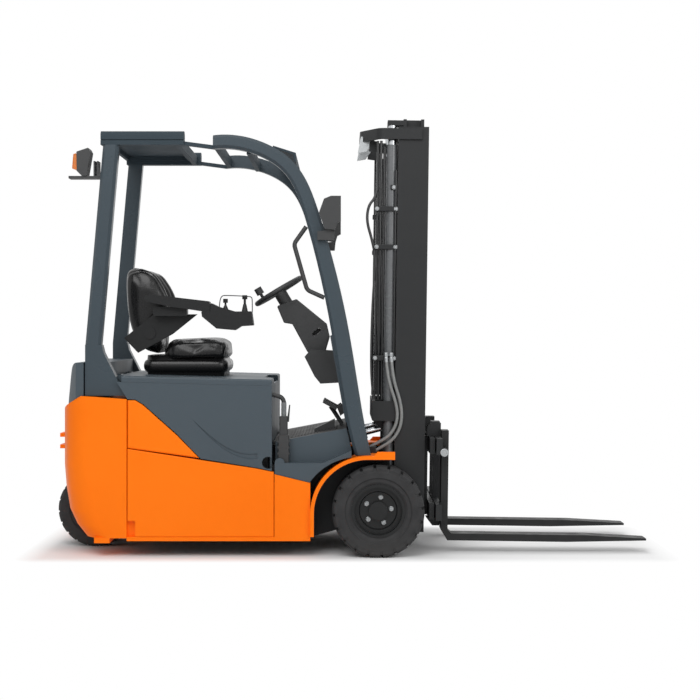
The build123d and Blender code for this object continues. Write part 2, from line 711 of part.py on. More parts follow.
arm_plate = 20.0
with BuildPart() as armrest:
    soft_slab(side(-arm_y + arm_half), [(seat_rear - 77, 1284), (seat_rear - 42, 1298),
                                        (seat_rear + 257, 1263), (seat_rear + 262, 1214),
                                        (seat_rear + 216, 1213),
                                        (seat_rear + 56, 1237), (seat_rear - 60, 1262)], 8, 2 * arm_half)
    slab(side(-seat_half), [(seat_rear - 187, 1078), (seat_rear - 36, 1199), (seat_rear + 186, 1199),
                            (seat_rear + 60, 1098), (seat_rear - 116, 1003)],
         arm_plate)
    slab(side(-seat_half - arm_plate), [(seat_rear - 30, 1190), (seat_rear + 140, 1190),
                                        (seat_rear + 140, 1236), (seat_rear - 30, 1236)],
         arm_y - seat_half - arm_plate)
    disc(side(-seat_half - arm_plate), seat_rear - 56, 1103, 31, 6)
pieces["armrest"] = armrest
console_half = 45.0
with BuildPart() as console:
    soft_slab(side(-arm_y + console_half), [(seat_rear + 216, 1212.8), (seat_rear + 262.3, 1213.8),
                                            (seat_rear + 262.3, 1256),
                                            (seat_rear + 303, 1236), (seat_rear + 385, 1212),
                                            (seat_rear + 468, 1213), (seat_rear + 478, 1142),
                                            (seat_rear + 416, 1138), (seat_rear + 385, 1118),
                                            (seat_rear + 293, 1126),
                                            (seat_rear + 220, 1186)], 5, 2 * console_half)
    # rubber boots with their levers
    for x, z, y, height in ((seat_rear + 335, 1222, -arm_y - 5, 34),
                            (seat_rear + 432, 1212, -arm_y + 14, 62),
                            (seat_rear + 432, 1212, -arm_y - 18, 62)):
        with BuildSketch(level(z)) as boot_low:
            with Locations((x, y)):
                Circle(15)
        with BuildSketch(level(z + 0.6 * height)) as boot_high:
            with Locations((x, y)):
                Circle(7)
        loft([boot_low.sketch, boot_high.sketch])
        disc(level(z), x, y, 5, height + 8)
        disc(level(z + height), x, y, 12, 20)
pieces["console"] = console

# Small fittings on the guard: grab handle, lamps, beacon
handle_y = leg_inner + guard_tube / 2
with BuildPart() as grab_handle:
    with BuildLine(side(-handle_y)) as handle_path:
        FilletPolyline((-356, 1632), (-417, 1546), (-352, 1318), (-266, 1279), radius=36)
    with BuildSketch(Plane(handle_path.line @ 0, z_dir=handle_path.line % 0)) as handle_section:
        Circle(11)
    sweep(handle_section.sketch, path=handle_path.line)
    add(guard_front_legs.part, mode=Mode.SUBTRACT)
pieces["grab_handle"] = grab_handle
with BuildPart() as mirrors:
    lamp_y = leg_outer
    slab(side(-lamp_y), [(-267, 1764), (-233, 1778), (-184, 1778), (-184, 1655), (-203, 1645),
                         (-213, 1611),
                         (-262, 1616), (-292, 1695)], 52)
    slab(side(-lamp_y), [(-300, 1606), (-213, 1611), (-218, 1562), (-300, 1562)], 30)
    mirror(about=Plane.XZ)
pieces["mirrors"] = mirrors
beacon_y = leg_inner - 8.0
beacon_half = 42.0
beacon_base = roof_top - 232.0
with BuildPart() as beacon:
    bar(level(beacon_base), roof_rear_x - 164, low_x + lean * (beacon_base - base_top), -beacon_y - 35,
        -beacon_y + 35, 12)
    soft_slab(side(-beacon_y + beacon_half), [(roof_rear_x - 122, roof_top - 196),
                                              (roof_rear_x - 124, roof_top - 100),
                                              (roof_rear_x - 64, roof_top - 80),
                                              (roof_rear_x - 54, roof_top - 102),
                                              (roof_rear_x - 74, roof_top - 220),
                                              (roof_rear_x - 98, roof_top - 220)], 6, 2 * beacon_half)
    for x in (roof_rear_x - 40, roof_rear_x - 24):
        bar(level(beacon_base), x, x + 8, -beacon_y - 35, -beacon_y + 35, 86)
pieces["beacon"] = beacon
with BuildPart() as beacon_lens:
    soft_slab(side(-beacon_y + beacon_half - 4), [(roof_rear_x - 122.3, roof_top - 192),
                                                  (roof_rear_x - 124, roof_top - 106),
                                                  (roof_rear_x - 140, roof_top - 112),
                                                  (roof_rear_x - 146, roof_top - 184)], 5,
              2 * beacon_half - 8)
pieces["beacon_lens"] = beacon_lens

# Battery connector on the step, with its release lever and the cable from the hood
plug_y = riser_y + 41.0
cable_radius = 11.0
cable_x = hood_front + 58.0
with BuildPart() as battery_plug:
    bar(level(step_height), cable_x - 28, cable_x + 26, -plug_y - 26, -plug_y + 26, 136)
    bar(level(step_height + 136), cable_x - 21, cable_x + 19, -plug_y - 20, -plug_y + 20, 92)
    fillet(battery_plug.edges().filter_by(Axis.Z), radius=6)
    for z in (step_height + 40, step_height + 70, step_height + 100):
        bar(level(z), cable_x - 31, cable_x + 29, -plug_y - 27, -plug_y + 27, 10)
    slab(side(-plug_y + 5), [(cable_x + 14, step_height + 200), (cable_x + 26, step_height + 200),
                             (cable_x + 32, step_height + 284), (cable_x + 26, step_height + 284)], 10)
    with BuildLine(side(-plug_y)) as cable_path:
        FilletPolyline((hood_front, 800), (cable_x, 784), (cable_x, step_height + 220), radius=34)
    with BuildSketch(Plane(cable_path.line @ 0, z_dir=cable_path.line % 0)) as cable_section:
        Circle(cable_radius)
    sweep(cable_section.sketch, path=cable_path.line)
    bar(level(700), hood_front - 40, hood_front, -plug_y - 60, -plug_y + 60, 200, mode=Mode.SUBTRACT)
pieces["battery_plug"] = battery_plug

# Steered rear unit: turntable, centre leg and the axle of the twin wheels
leg_half = rear_tyre_gap / 2 - 8.0
rear_axle_radius = 28.0
turntable_z = arch_roof - 30.0
with BuildPart() as steer_unit:
    disc(level(turntable_z), rear_x, 0, turntable_radius, 30 - running_clearance)
    slab(side(leg_half), [(rear_x - 60, turntable_z), (rear_x + 60, turntable_z),
                          (rear_x + 44, rear_tyre_radius - 40),
                          (rear_x - 44, rear_tyre_radius - 40)], 2 * leg_half)
    disc(side(rear_tyre_gap / 2 + rear_tyre_width - 20), rear_x, rear_tyre_radius, rear_axle_radius,
         rear_tyre_gap + 2 * rear_tyre_width - 40)
pieces["steer_unit"] = steer_unit


def wheel(section_points, y_plane, x, z):
    """Turned ring or disc about a cross axle, from a section in radius and width."""
    with BuildSketch(Plane(origin=(axle_x + x, y_plane, z), x_dir=(0, 0, 1),
                           z_dir=(-1, 0, 0))) as section:
        with BuildLine():
            Polyline(*section_points, close=True)
        make_face()
    revolve(section.sketch, axis=Axis((axle_x + x, y_plane, z), (0, 1, 0)))


def tyre_section(radius, bead, width):
    """Tyre cross section: radius, then half width about the middle, with a scrub rib and round shoulders."""
    h = width / 2
    rib = bead + 0.36 * (radius - bead)
    half = [(bead, 0.78 * h), (bead + 12, 0.9 * h), (rib - 6, 0.92 * h), (rib, h), (radius - 34, h),
            (radius - 10, 0.92 * h), (radius, 0.72 * h)]
    return [(r, -y) for r, y in half] + [(r, y) for r, y in reversed(half)]


def tread(radius, width, y_middle, x, z, count, depth, reach):
    """Cuts the gaps between the lugs into both shoulders of a tyre, half a pitch apart."""
    for hand in (-1, 1):
        face = Plane(origin=(axle_x + x, y_middle + hand * width / 2, z), x_dir=(1, 0, 0),
                     z_dir=(0, -hand, 0))
        with BuildSketch(face) as gaps:
            with PolarLocations(radius - depth / 2 + 5, count, start_angle=hand * 90 / count):
                Rectangle(depth + 10, 1.1 * depth)
        extrude(gaps.sketch, amount=reach, mode=Mode.SUBTRACT)


# Rear twin tyres and their rims
rear_bead = 105.0
with BuildPart() as rear_tyres:
    for hand in (-1, 1):
        wheel(tyre_section(rear_tyre_radius, rear_bead, rear_tyre_width),
              hand * (rear_tyre_gap + rear_tyre_width) / 2, rear_x, rear_tyre_radius)
        tread(rear_tyre_radius, rear_tyre_width, hand * (rear_tyre_gap + rear_tyre_width) / 2, rear_x,
              rear_tyre_radius,
              rear_lugs, rear_lug_depth, 0.36 * rear_tyre_width)
pieces["rear_tyres"] = rear_tyres
with BuildPart() as rear_rims:
    bore = rear_axle_radius + running_clearance
    rim_h = rear_tyre_width * 0.4
    for hand in (-1, 1):
        wheel([(bore, -rim_h), (60, -rim_h), (60, -18), (rear_bead - 12, -18), (rear_bead - 12, -rim_h),
               (rear_bead, -rim_h),
               (rear_bead, rim_h), (rear_bead - 12, rim_h), (rear_bead - 12, 18), (60, 18), (60, rim_h),
               (bore, rim_h)],
              hand * (rear_tyre_gap + rear_tyre_width) / 2, rear_x, rear_tyre_radius)
pieces["rear_rims"] = rear_rims

# Front wheels, one body each
front_bead = 132.0
front_y = (overall_width - front_tyre_width) / 2
for side_name, hand in (("right", -1), ("left", 1)):
    with BuildPart() as front_tyre:
        wheel(tyre_section(front_tyre_radius, front_bead, front_tyre_width), hand * front_y, 0, axle_z)
        tread(front_tyre_radius, front_tyre_width, hand * front_y, 0, axle_z, front_lugs,
              front_lug_depth,
              0.38 * front_tyre_width)
    pieces[f"front_tyre_{side_name}"] = front_tyre
    with BuildPart() as front_rim:
        bore = stub_radius + running_clearance
        h = front_tyre_width * 0.4
        out = hand * h
        wheel([(bore, -hand * 50), (80, -hand * 50), (80, hand * 4), (front_bead - 14, hand * 4),
               (front_bead - 14, -out),
               (front_bead, -out), (front_bead, out), (front_bead - 14, out),
               (front_bead - 14, hand * 30), (96, hand * 30),
               (90, hand * 18), (45, hand * 18), (45, hand * 44), (0, hand * 44), (0, hand * 34),
               (bore, hand * 34)],
              hand * front_y, 0, axle_z)
    pieces[f"front_rim_{side_name}"] = front_rim

# Outer mast: two channels, a bowed tie at the top, a beam for the tilt lugs and rings round the axle
web_out = mast_half_width
web_in = web_out - web_thickness
ring_outer = axle_tube_radius + mast_ring_wall
ring_y0 = mast_half_width - 50.0
ring_y1 = mast_half_width - 8.0
tie_reach = -105.0
with BuildPart() as mast_outer:
    with BuildSketch(mast_level(mast_bottom)) as channel:
        with Locations((mast_back + mast_depth / 2, -web_out + web_thickness / 2)):
            Rectangle(mast_depth, web_thickness)
        for x in (mast_back + flange_thickness / 2, mast_front - flange_thickness / 2):
            with Locations((x, -web_out + flange_length / 2)):
                Rectangle(flange_thickness, flange_length)
    extrude(channel.sketch, amount=outer_top - mast_bottom)
    # ring round the axle tube and the seat of the lift cylinder above it
    slab(mast_side(-ring_y0), [(0, axle_z + ring_outer), (mast_back + 5, axle_z + ring_outer),
                               (mast_back + 5, axle_z - ring_outer), (0, axle_z - ring_outer)],
                               ring_y1 - ring_y0)
    disc(mast_side(-ring_y0), 0, axle_z, ring_outer, ring_y1 - ring_y0)
    disc(mast_side(-ring_y0), 0, axle_z, axle_tube_radius + running_clearance, ring_y1 - ring_y0,
         mode=Mode.SUBTRACT)
    bar(mast_level(axle_z + ring_outer - 1), 18, mast_back + 5, -web_out, -lift_y + 30,
        lift_barrel_bottom - axle_z - ring_outer + 1)
    # side return of the tilt beam, and one pair of tilt lugs with the pin
    bar(mast_level(660), -32, mast_back + 5, -web_out, -web_out + 8, 100)
    for y in (tilt_y - eye_half - 14, tilt_y + eye_half + 2):
        slab(mast_side(-y), [(-32, 660), (-32, 760), (-14, 760), (tilt_eye_x + 20, 630),
                             (tilt_eye_x + 8, 598),
                             (tilt_eye_x - 20, 602)], 12)
    disc(mast_side(-tilt_y + eye_half + 8), eye_local_x, eye_local_z, tilt_pin_radius, 2 * eye_half + 16)
    mirror(about=Plane.XZ)
    bar(mast_level(660), -32, -18, -web_out, web_out, 100)
    bar(mast_level(mast_bottom), mast_back - 18, mast_back, -web_out, web_out, 45)
    # bowed top tie, back past the lift cylinders
    with BuildSketch(mast_level(outer_top - 65)) as tie:
        with BuildLine() as tie_line:
            FilletPolyline((mast_back + 118, -web_out - 7), (-10, -web_out - 7), (tie_reach, -150),
                           (tie_reach, 150),
                           (-10, web_out + 7), (mast_back + 118, web_out + 7), radius=50)
        trace(tie_line.line, line_width=14)
    extrude(tie.sketch, amount=55)
    # chain anchors on the beam
    for hand in (-1, 1):
        bar(mast_level(740), -20, 82, hand * chain_y - 16, hand * chain_y + 16, 20)
pieces["mast_outer"] = mast_outer

# Lift cylinder barrels behind the channels
lift_x = mast_back - slide_gap - lift_barrel_radius
with BuildPart() as lift_barrels:
    with BuildSketch(mast_level(lift_barrel_bottom)) as tube:
        with Locations((lift_x, -lift_y)):
            Circle(lift_barrel_radius)
    extrude(tube.sketch, amount=lift_barrel_top - lift_barrel_bottom)
    disc(mast_level(lift_barrel_bottom + 15), lift_x, -lift_y, lift_rod_radius + rod_clearance, 2000,
         mode=Mode.SUBTRACT)
    mirror(about=Plane.XZ)
pieces["lift_barrels"] = lift_barrels

# Inner mast: two I sections inside the channels, cross members and the crossheads on the rods
inner_back = mast_back + flange_thickness + slide_gap
inner_front = mast_front - flange_thickness - slide_gap
inner_out = web_in - slide_gap
inner_in = inner_out - inner_half_width
inner_web = (inner_out + inner_in) / 2
crosshead_z = outer_top + 8.0
sheave_radius = 42.0
sheave_width = 30.0
sheave_axle = 12.0
sheave_x = inner_back + inner_flange / 2
sheave_z = 2110.0
with BuildPart() as mast_inner:
    with BuildSketch(mast_level(mast_bottom + 10)) as section:
        with Locations(((inner_back + inner_front) / 2, -inner_web)):
            Rectangle(inner_front - inner_back, web_thickness)
        for x in (inner_back + inner_flange / 2, inner_front - inner_flange / 2):
            with Locations((x, -(inner_out + inner_in) / 2)):
                Rectangle(inner_flange, inner_half_width)
    extrude(section.sketch, amount=inner_top - mast_bottom - 10)
    bar(mast_level(crosshead_z), lift_x - 24, inner_back + 6, -inner_out, -inner_in, 26)
    for y in (chain_y - sheave_width / 2 - 12, chain_y + sheave_width / 2 + 2):
        bar(mast_level(2030), sheave_x - 22, sheave_x + 22, -y - 10, -y, 100)
    disc(mast_side(-chain_y + 30), sheave_x, sheave_z, sheave_axle + running_clearance, 60,
         mode=Mode.SUBTRACT)
    mirror(about=Plane.XZ)
    for z, height in ((mast_bottom + 15, 70), (1080, 60), (1980, 60)):
        bar(mast_level(z), inner_back, inner_back + inner_flange, -inner_in, inner_in, height)
pieces["mast_inner"] = mast_inner

# Lift rods, standing in the barrels and pushing the crossheads
with BuildPart() as lift_rods:
    disc(mast_level(lift_barrel_bottom + 30), lift_x, -lift_y, lift_rod_radius,
         crosshead_z - lift_barrel_bottom - 30)
    mirror(about=Plane.XZ)
pieces["lift_rods"] = lift_rods

# Chain sheaves on the inner mast
with BuildPart() as sheaves:
    disc(mast_side(-chain_y + sheave_width / 2), sheave_x, sheave_z, sheave_radius, sheave_width)
    disc(mast_side(-chain_y + 28), sheave_x, sheave_z, sheave_axle, 56)
    mirror(about=Plane.XZ)
pieces["sheaves"] = sheaves

# Leaf chains: rear run up from the beam and front run down to the carriage
chain = 12.0
chain_pitch = 38.0
leaf = 4.0
chain_half = 12.0
chain_anchor_rear = 760.0
chain_anchor_front = 540.0
carriage_top = carriage_bottom + carriage_height


def leaf_chain(x, bottom, top):
    """Upright run of leaf chain on the right: three leaves side by side on cross pins."""
    for y in (-chain_y - chain_half, -chain_y - leaf / 2, -chain_y + chain_half - leaf):
        bar(mast_level(bottom), x, x + chain, y, y + leaf, top - bottom)
    with BuildSketch(mast_side(-chain_y + chain_half)) as pins:
        count = int((top - bottom) / chain_pitch)
        for i in range(count):
            with Locations((x + chain / 2, bottom + (i + 0.5) * chain_pitch)):
                RegularPolygon(chain / 3, 6)
    extrude(pins.sketch, amount=2 * chain_half)


with BuildPart() as chain_rear:
    leaf_chain(sheave_x - sheave_radius - chain - 0.5, chain_anchor_rear, sheave_z)
    mirror(about=Plane.XZ)
pieces["chain_rear"] = chain_rear
with BuildPart() as chain_front:
    leaf_chain(sheave_x + sheave_radius + 0.5, chain_anchor_front, sheave_z)
    mirror(about=Plane.XZ)
pieces["chain_front"] = chain_front

# Carriage: roller plates inside the inner mast and two cross bars in front of it
bar_front = fork_face - fork_thickness - fork_bar - slide_gap - 1
roller_radius = (inner_front - inner_back) / 2 - inner_flange - 0.5
plate_out = inner_in - slide_gap
roller_x = (inner_back + inner_front) / 2
with BuildPart() as carriage:
    for z in (carriage_bottom, carriage_top - 80):
        bar(mast_level(z), bar_front - carriage_plate, bar_front, -carriage_half_width + 40,
            carriage_half_width - 40, 80)
    slab(mast_side(-plate_out + 18), [(roller_x - 30, carriage_bottom + 10),
                                      (bar_front - carriage_plate, carriage_bottom),
                                      (bar_front - carriage_plate, carriage_top),
                                      (roller_x - 30, carriage_top - 20)], 18)
    for z in (carriage_bottom + 60, carriage_top - 60):
        disc(mast_side(-plate_out), roller_x, z, roller_radius,
             inner_web - web_thickness / 2 - plate_out - 2)
    bar(mast_level(520), sheave_x + sheave_radius - 8, bar_front - carriage_plate, -146, -114, 20)
    mirror(about=Plane.XZ)
pieces["carriage"] = carriage

# Side shift frame: fork bars that slide on the carriage, hooked over its upper bar
shift_back = bar_front + slide_gap
hook_y = 210.0
hook_half = 40.0
shift_cap = 84.0
with BuildPart() as shift_frame:
    for z in (carriage_bottom, carriage_top - 80):
        bar(mast_level(z), shift_back, shift_back + fork_bar, -carriage_half_width, carriage_half_width,
            80)
    for y in (-130, 100):
        bar(mast_level(carriage_bottom), shift_back, shift_back + fork_bar, y, y + 30, carriage_height)
    hook_back = bar_front - carriage_plate - 8
    for hand in (-1, 1):
        slab(mast_side(hand * hook_y + hook_half), [
            (shift_back, carriage_top), (shift_back + fork_bar, carriage_top),
            (shift_back + 26, fork_top),
            (shift_back + 26, fork_top + 40), (hook_back + 20, fork_top + 40),
            (hook_back, fork_top + 10),
            (hook_back, carriage_top + running_clearance),
            (shift_back, carriage_top + running_clearance)],
            2 * hook_half)
        # lower hooks, just clear of the carriage's lower bar
        slab(mast_side(hand * hook_y + hook_half), [
            (shift_back + fork_bar, carriage_bottom + 20), (shift_back, carriage_bottom + 20),
            (shift_back, carriage_bottom - slide_gap), (hook_back, carriage_bottom - slide_gap),
            (shift_back - 6, carriage_bottom - 47), (shift_back + fork_bar, carriage_bottom - 47)],
            2 * hook_half)
    # ends of the side shift cylinder, outside the forks
    for y in (-carriage_half_width + shift_cap, carriage_half_width):
        disc(mast_side(y), shift_back + fork_bar + 8, carriage_top - 68, 22, shift_cap)
pieces["shift_frame"] = shift_frame

# Forks: forged L shapes, tapered to the tip, hooked on the bars
shank_back = fork_face - fork_thickness
with BuildPart() as forks:
    slab(mast_side(-fork_spacing / 2 + fork_width / 2),
         [(shank_back, fork_top), (shank_back, fork_underside + 54), (shank_back + 34, fork_underside),
          (fork_tip - 400, fork_underside), (fork_tip, fork_underside + fork_thickness / 2 - 5),
          (fork_tip, fork_underside + fork_thickness / 2 + 5),
          (fork_tip - 300, fork_underside + fork_thickness),
          (fork_face + 20, fork_underside + fork_thickness),
          (fork_face, fork_underside + fork_thickness + 20), (fork_face, fork_top)], fork_width)
    mirror(about=Plane.XZ)
pieces["forks"] = forks

# Tilt cylinders: barrels on the frame beam, rods to the mast lugs
span = hypot(tilt_eye_x - tilt_anchor_x, tilt_eye_z - tilt_anchor_z)
rise = atan2(tilt_eye_z - tilt_anchor_z, tilt_eye_x - tilt_anchor_x)


def tilt_plane(y):
    """Plane along the tilt cylinder: local x from its anchor towards the mast eye."""
    return Plane(origin=(axle_x + tilt_anchor_x, y, tilt_anchor_z), x_dir=(cos(rise), 0, sin(rise)),
                 z_dir=(0, -1, 0))


def tilt_round(x, radius, amount, mode=Mode.ADD):
    """Round bar along the right-hand tilt cylinder, from x on."""
    start = (axle_x + tilt_anchor_x + x * cos(rise), -tilt_y, tilt_anchor_z + x * sin(rise))
    disc(Plane(origin=start, x_dir=(0, 1, 0), z_dir=(cos(rise), 0, sin(rise))), 0, 0, radius, amount,
         mode)


barrel_end = 255.0
with BuildPart() as tilt_barrels:
    disc(tilt_plane(-tilt_y + eye_half), 0, 0, 26, 2 * eye_half)
    tilt_round(0, eye_half - 2, 40)
    tilt_round(36, tilt_barrel_radius, barrel_end - 36)
    tilt_round(52, tilt_rod_radius + rod_clearance, barrel_end, mode=Mode.SUBTRACT)
    disc(tilt_plane(-tilt_y + eye_half), 0, 0, tilt_pin_radius + running_clearance, 2 * eye_half,
         mode=Mode.SUBTRACT)
    mirror(about=Plane.XZ)
pieces["tilt_barrels"] = tilt_barrels
with BuildPart() as tilt_rods:
    tilt_round(125, tilt_rod_radius, span - 125 - 20)
    disc(tilt_plane(-tilt_y + eye_half), span, 0, 26, 2 * eye_half)
    disc(tilt_plane(-tilt_y + eye_half), span, 0, tilt_pin_radius + pin_clearance, 2 * eye_half,
         mode=Mode.SUBTRACT)
    mirror(about=Plane.XZ)
pieces["tilt_rods"] = tilt_rods

for name, piece in pieces.items():
    piece.part.label = name
    export_step(piece.part, f"parts/{name}.step")
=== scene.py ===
import json
import math

import bmesh
import bpy
from mathutils import Matrix, Vector


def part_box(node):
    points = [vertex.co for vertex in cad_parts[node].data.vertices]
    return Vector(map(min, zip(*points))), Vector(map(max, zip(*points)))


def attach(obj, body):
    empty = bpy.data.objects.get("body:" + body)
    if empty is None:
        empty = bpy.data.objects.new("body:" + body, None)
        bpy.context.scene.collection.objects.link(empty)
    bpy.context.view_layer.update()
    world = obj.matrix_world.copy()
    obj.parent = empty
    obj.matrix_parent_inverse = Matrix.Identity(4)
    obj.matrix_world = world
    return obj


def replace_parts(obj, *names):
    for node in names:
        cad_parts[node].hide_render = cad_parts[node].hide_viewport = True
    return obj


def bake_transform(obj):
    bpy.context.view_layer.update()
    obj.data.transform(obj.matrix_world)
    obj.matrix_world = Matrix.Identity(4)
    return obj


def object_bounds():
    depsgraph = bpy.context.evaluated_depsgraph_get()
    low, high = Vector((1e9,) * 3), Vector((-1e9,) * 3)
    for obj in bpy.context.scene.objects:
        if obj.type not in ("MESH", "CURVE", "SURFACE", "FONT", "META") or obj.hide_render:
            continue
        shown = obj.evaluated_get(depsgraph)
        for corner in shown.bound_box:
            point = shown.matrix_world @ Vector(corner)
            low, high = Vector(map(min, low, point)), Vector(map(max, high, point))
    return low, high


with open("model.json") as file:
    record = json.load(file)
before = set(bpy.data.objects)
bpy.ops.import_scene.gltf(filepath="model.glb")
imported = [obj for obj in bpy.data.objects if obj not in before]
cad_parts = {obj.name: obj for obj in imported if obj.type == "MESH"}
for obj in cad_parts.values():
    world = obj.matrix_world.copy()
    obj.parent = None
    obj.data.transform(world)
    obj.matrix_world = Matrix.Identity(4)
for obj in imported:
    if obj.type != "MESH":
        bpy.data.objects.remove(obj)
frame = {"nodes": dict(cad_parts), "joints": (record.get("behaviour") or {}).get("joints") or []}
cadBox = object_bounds()
nodes = frame["nodes"]
jointByName = {joint["name"]: joint for joint in frame["joints"]}
axleX, _, axleZ = jointByName["front_right_spin"]["pos_m"]
rearX, _, rearZ = jointByName["rear_spin"]["pos_m"]
liftAxis = jointByName["mast_lift"]["axis"]
mastLean = math.atan2(liftAxis[0], liftAxis[2])
print("frame loaded:", len(nodes), "nodes")


def hexToLinear(code):  # sRGB hex to the linear colour that shaders take
    channels = [int(code[i:i + 2], 16) / 255 for i in (1, 3, 5)]
    return tuple(c / 12.92 if c <= 0.04045 else ((c + 0.055) / 1.055) ** 2.4 for c in channels) + (1.0,)


def perMetre(sizeMm):  # texture scale that repeats at a real size
    return 1000 / sizeMm


def addNode(tree, kind, settings=None, links=None):
    # settings are attributes or input values, links are input -> output socket
    node = tree.nodes.new(kind)
    for key, value in (settings or {}).items():
        if isinstance(key, str) and hasattr(node, key):
            setattr(node, key, value)
        else:
            node.inputs[key].default_value = value
    for key, socket in (links or {}).items():
        tree.links.new(socket, node.inputs[key])
    return node


def calc(tree, operation, *terms, kind="Math"):  # maths node on numbers and sockets
    numbers = {i: term for i, term in enumerate(terms) if isinstance(term, (int, float, tuple))}
    sockets = {i: term for i, term in enumerate(terms) if i not in numbers}
    return addNode(tree, "ShaderNode" + kind, {"operation": operation, **numbers}, sockets).outputs[0]


def sheen(level, ior=1.5):  # how strongly a painted or moulded skin reflects
    return {"IOR": ior, "Specular IOR Level": level}


def newMaterial(name, settings):
    material = bpy.data.materials.new(name)
    material.use_nodes = True
    tree = material.node_tree
    shader = tree.nodes["Principled BSDF"]
    for key, value in settings.items():
        shader.inputs[key].default_value = value
    place = addNode(tree, "ShaderNodeTexCoord").outputs["Object"]
    return material, tree, shader, place


noiseSpan = (0.3, 0.7)  # what a noise mostly gives
grainDepth = 0.25  # depth of a grain, as a share of its size


def variedCoat(name, coat):
    # a sprayed or moulded skin: two close tones in soft clouds, uneven gloss and a fine pebble in the bump
    material, tree, shader, place = newMaterial(name, coat.get("shader", {}))
    clouds = addNode(tree, "ShaderNodeTexNoise",
                     {"Scale": perMetre(coat["cloudMm"]), "Detail": 4.0}, {"Vector": place})
    tone = addNode(tree, "ShaderNodeMix",
                   {"data_type": "RGBA", 6: hexToLinear(coat["light"]), 7: hexToLinear(coat["dark"])},
                   {0: clouds.outputs["Fac"]})
    gloss = addNode(tree, "ShaderNodeMapRange",
                    {"From Min": noiseSpan[0], "From Max": noiseSpan[1],
                     "To Min": coat["gloss"][0], "To Max": coat["gloss"][1]},
                    {"Value": clouds.outputs["Fac"]})
    if coat.get("pebble") == "cells":
        grain = addNode(tree, "ShaderNodeTexVoronoi", {"Scale": perMetre(coat["grainMm"])}, {"Vector": place})
        height = grain.outputs["Distance"]
    else:
        grain = addNode(tree, "ShaderNodeTexNoise",
                        {"Scale": perMetre(coat["grainMm"]), "Detail": 2.0}, {"Vector": place})
        height = grain.outputs["Fac"]
    bump = addNode(tree, "ShaderNodeBump",
                   {"Strength": coat["bump"], "Distance": coat["grainMm"] * grainDepth / 1000},
                   {"Height": height})
    colour = tone.outputs[2]
    if "dust" in coat:  # dust that gathers low on the truck, in patches
        parts = addNode(tree, "ShaderNodeSeparateXYZ", {}, {"Vector": place})
        low = addNode(tree, "ShaderNodeMapRange",
                      {"From Min": 0.0, "From Max": coat["dustTopMm"] / 1000,
                       "To Min": coat["dustShare"], "To Max": 0.0}, {"Value": parts.outputs["Z"]})
        patch = calc(tree, "MULTIPLY", low.outputs[0], clouds.outputs["Fac"])
        dusty = addNode(tree, "ShaderNodeMix", {"data_type": "RGBA", 7: hexToLinear(coat["dust"])},
                        {0: patch, 6: colour})
        colour = dusty.outputs[2]
    if "inside" in coat:  # hidden faces keep the black primer; on the fender this dark is painted shade under its arch
        masked = addNode(tree, "ShaderNodeMix", {"data_type": "RGBA", 6: hexToLinear(coat["inside"])},
                         {0: coat["mask"](tree, place), 7: colour})
        colour = masked.outputs[2]
    tree.links.new(colour, shader.inputs["Base Color"])
    tree.links.new(gloss.outputs[0], shader.inputs["Roughness"])
    tree.links.new(bump.outputs[0], shader.inputs["Normal"])
    return material


skinFrom = 472  # mm from the middle plane to the outer skin of the body


def outerSkin(tree, place):  # 1 on the outer skin of the body, 0 on what lies inside it
    parts = addNode(tree, "ShaderNodeSeparateXYZ", {}, {"Vector": place}).outputs
    return calc(tree, "GREATER_THAN", calc(tree, "ABSOLUTE", parts["Y"]), skinFrom / 1000)


# the wheel arch under the fender, mm: under its edge the fender gets painted shade
fenderArch = {"radius": 285, "behindAxle": 50, "height": 215, "skin": 18}


def fenderShadeMask(tree, place):  # 1 on the fender's edge and top, 0 under it, where shade is painted
    parts = addNode(tree, "ShaderNodeSeparateXYZ", {}, {"Vector": place}).outputs
    archX = axleX - fenderArch["behindAxle"] / 1000
    behind = calc(tree, "MAXIMUM", calc(tree, "SUBTRACT", archX, parts["X"]), 0.0)
    above = calc(tree, "MAXIMUM", calc(tree, "SUBTRACT", parts["Z"], fenderArch["height"] / 1000), 0.0)
    reach = addNode(tree, "ShaderNodeCombineXYZ", {}, {"X": behind, "Y": above})
    far = addNode(tree, "ShaderNodeVectorMath", {"operation": "LENGTH"}, {0: reach.outputs[0]})
    edge = (fenderArch["radius"] - fenderArch["skin"]) / 1000
    return calc(tree, "GREATER_THAN", far.outputs["Value"], edge)


# polyester powder coat, sprayed and baked: even colour, soft gloss, orange peel (drawn at 7 mm to show)
orangePaint = {"light": "#ff7d12", "dark": "#f77208", "cloudMm": 320, "gloss": (0.34, 0.44), "grainMm": 7,
               "bump": 0.05, "shader": sheen(0.1)}
orangeCoat = variedCoat("orangePowderCoat", orangePaint)
# the same coat on the outer faces alone, over black primer on the frame; on the fender the dark under the
# arch is painted shade
frameCoat = variedCoat("orangeOverBlackPrimer", {**orangePaint, "inside": "#232425", "mask": outerSkin})
# the fender's coat: dark grey under the arch as painted shade
fenderShadedCoat = variedCoat("orangeFenderCoat", {**orangePaint, "inside": "#1f2021", "mask": fenderShadeMask})
# the coat in blue grey, on hood, steps and guard: a little glossier on the guard's legs
slateCoat = variedCoat("slatePowderCoat", {
    "light": "#485259", "dark": "#414b52", "cloudMm": 300, "gloss": (0.38, 0.5), "grainMm": 7, "bump": 0.06,
    "shader": sheen(0.25)})
guardCoat = variedCoat("guardPowderCoat", {
    "light": "#3f4a51", "dark": "#384249", "cloudMm": 260, "gloss": (0.24, 0.34), "grainMm": 7, "bump": 0.05,
    "shader": sheen(0.28)})
# the same coat on the roof, toned a little darker as painted shade, with a fine matting texture: little
# sheen, so that its underside stays dark
roofShadedCoat = variedCoat("mattedRoofPowderCoat", {
    "light": "#3c464d", "dark": "#353f45", "cloudMm": 260, "gloss": (0.5, 0.62), "grainMm": 5, "bump": 0.1,
    "shader": sheen(0.08)})
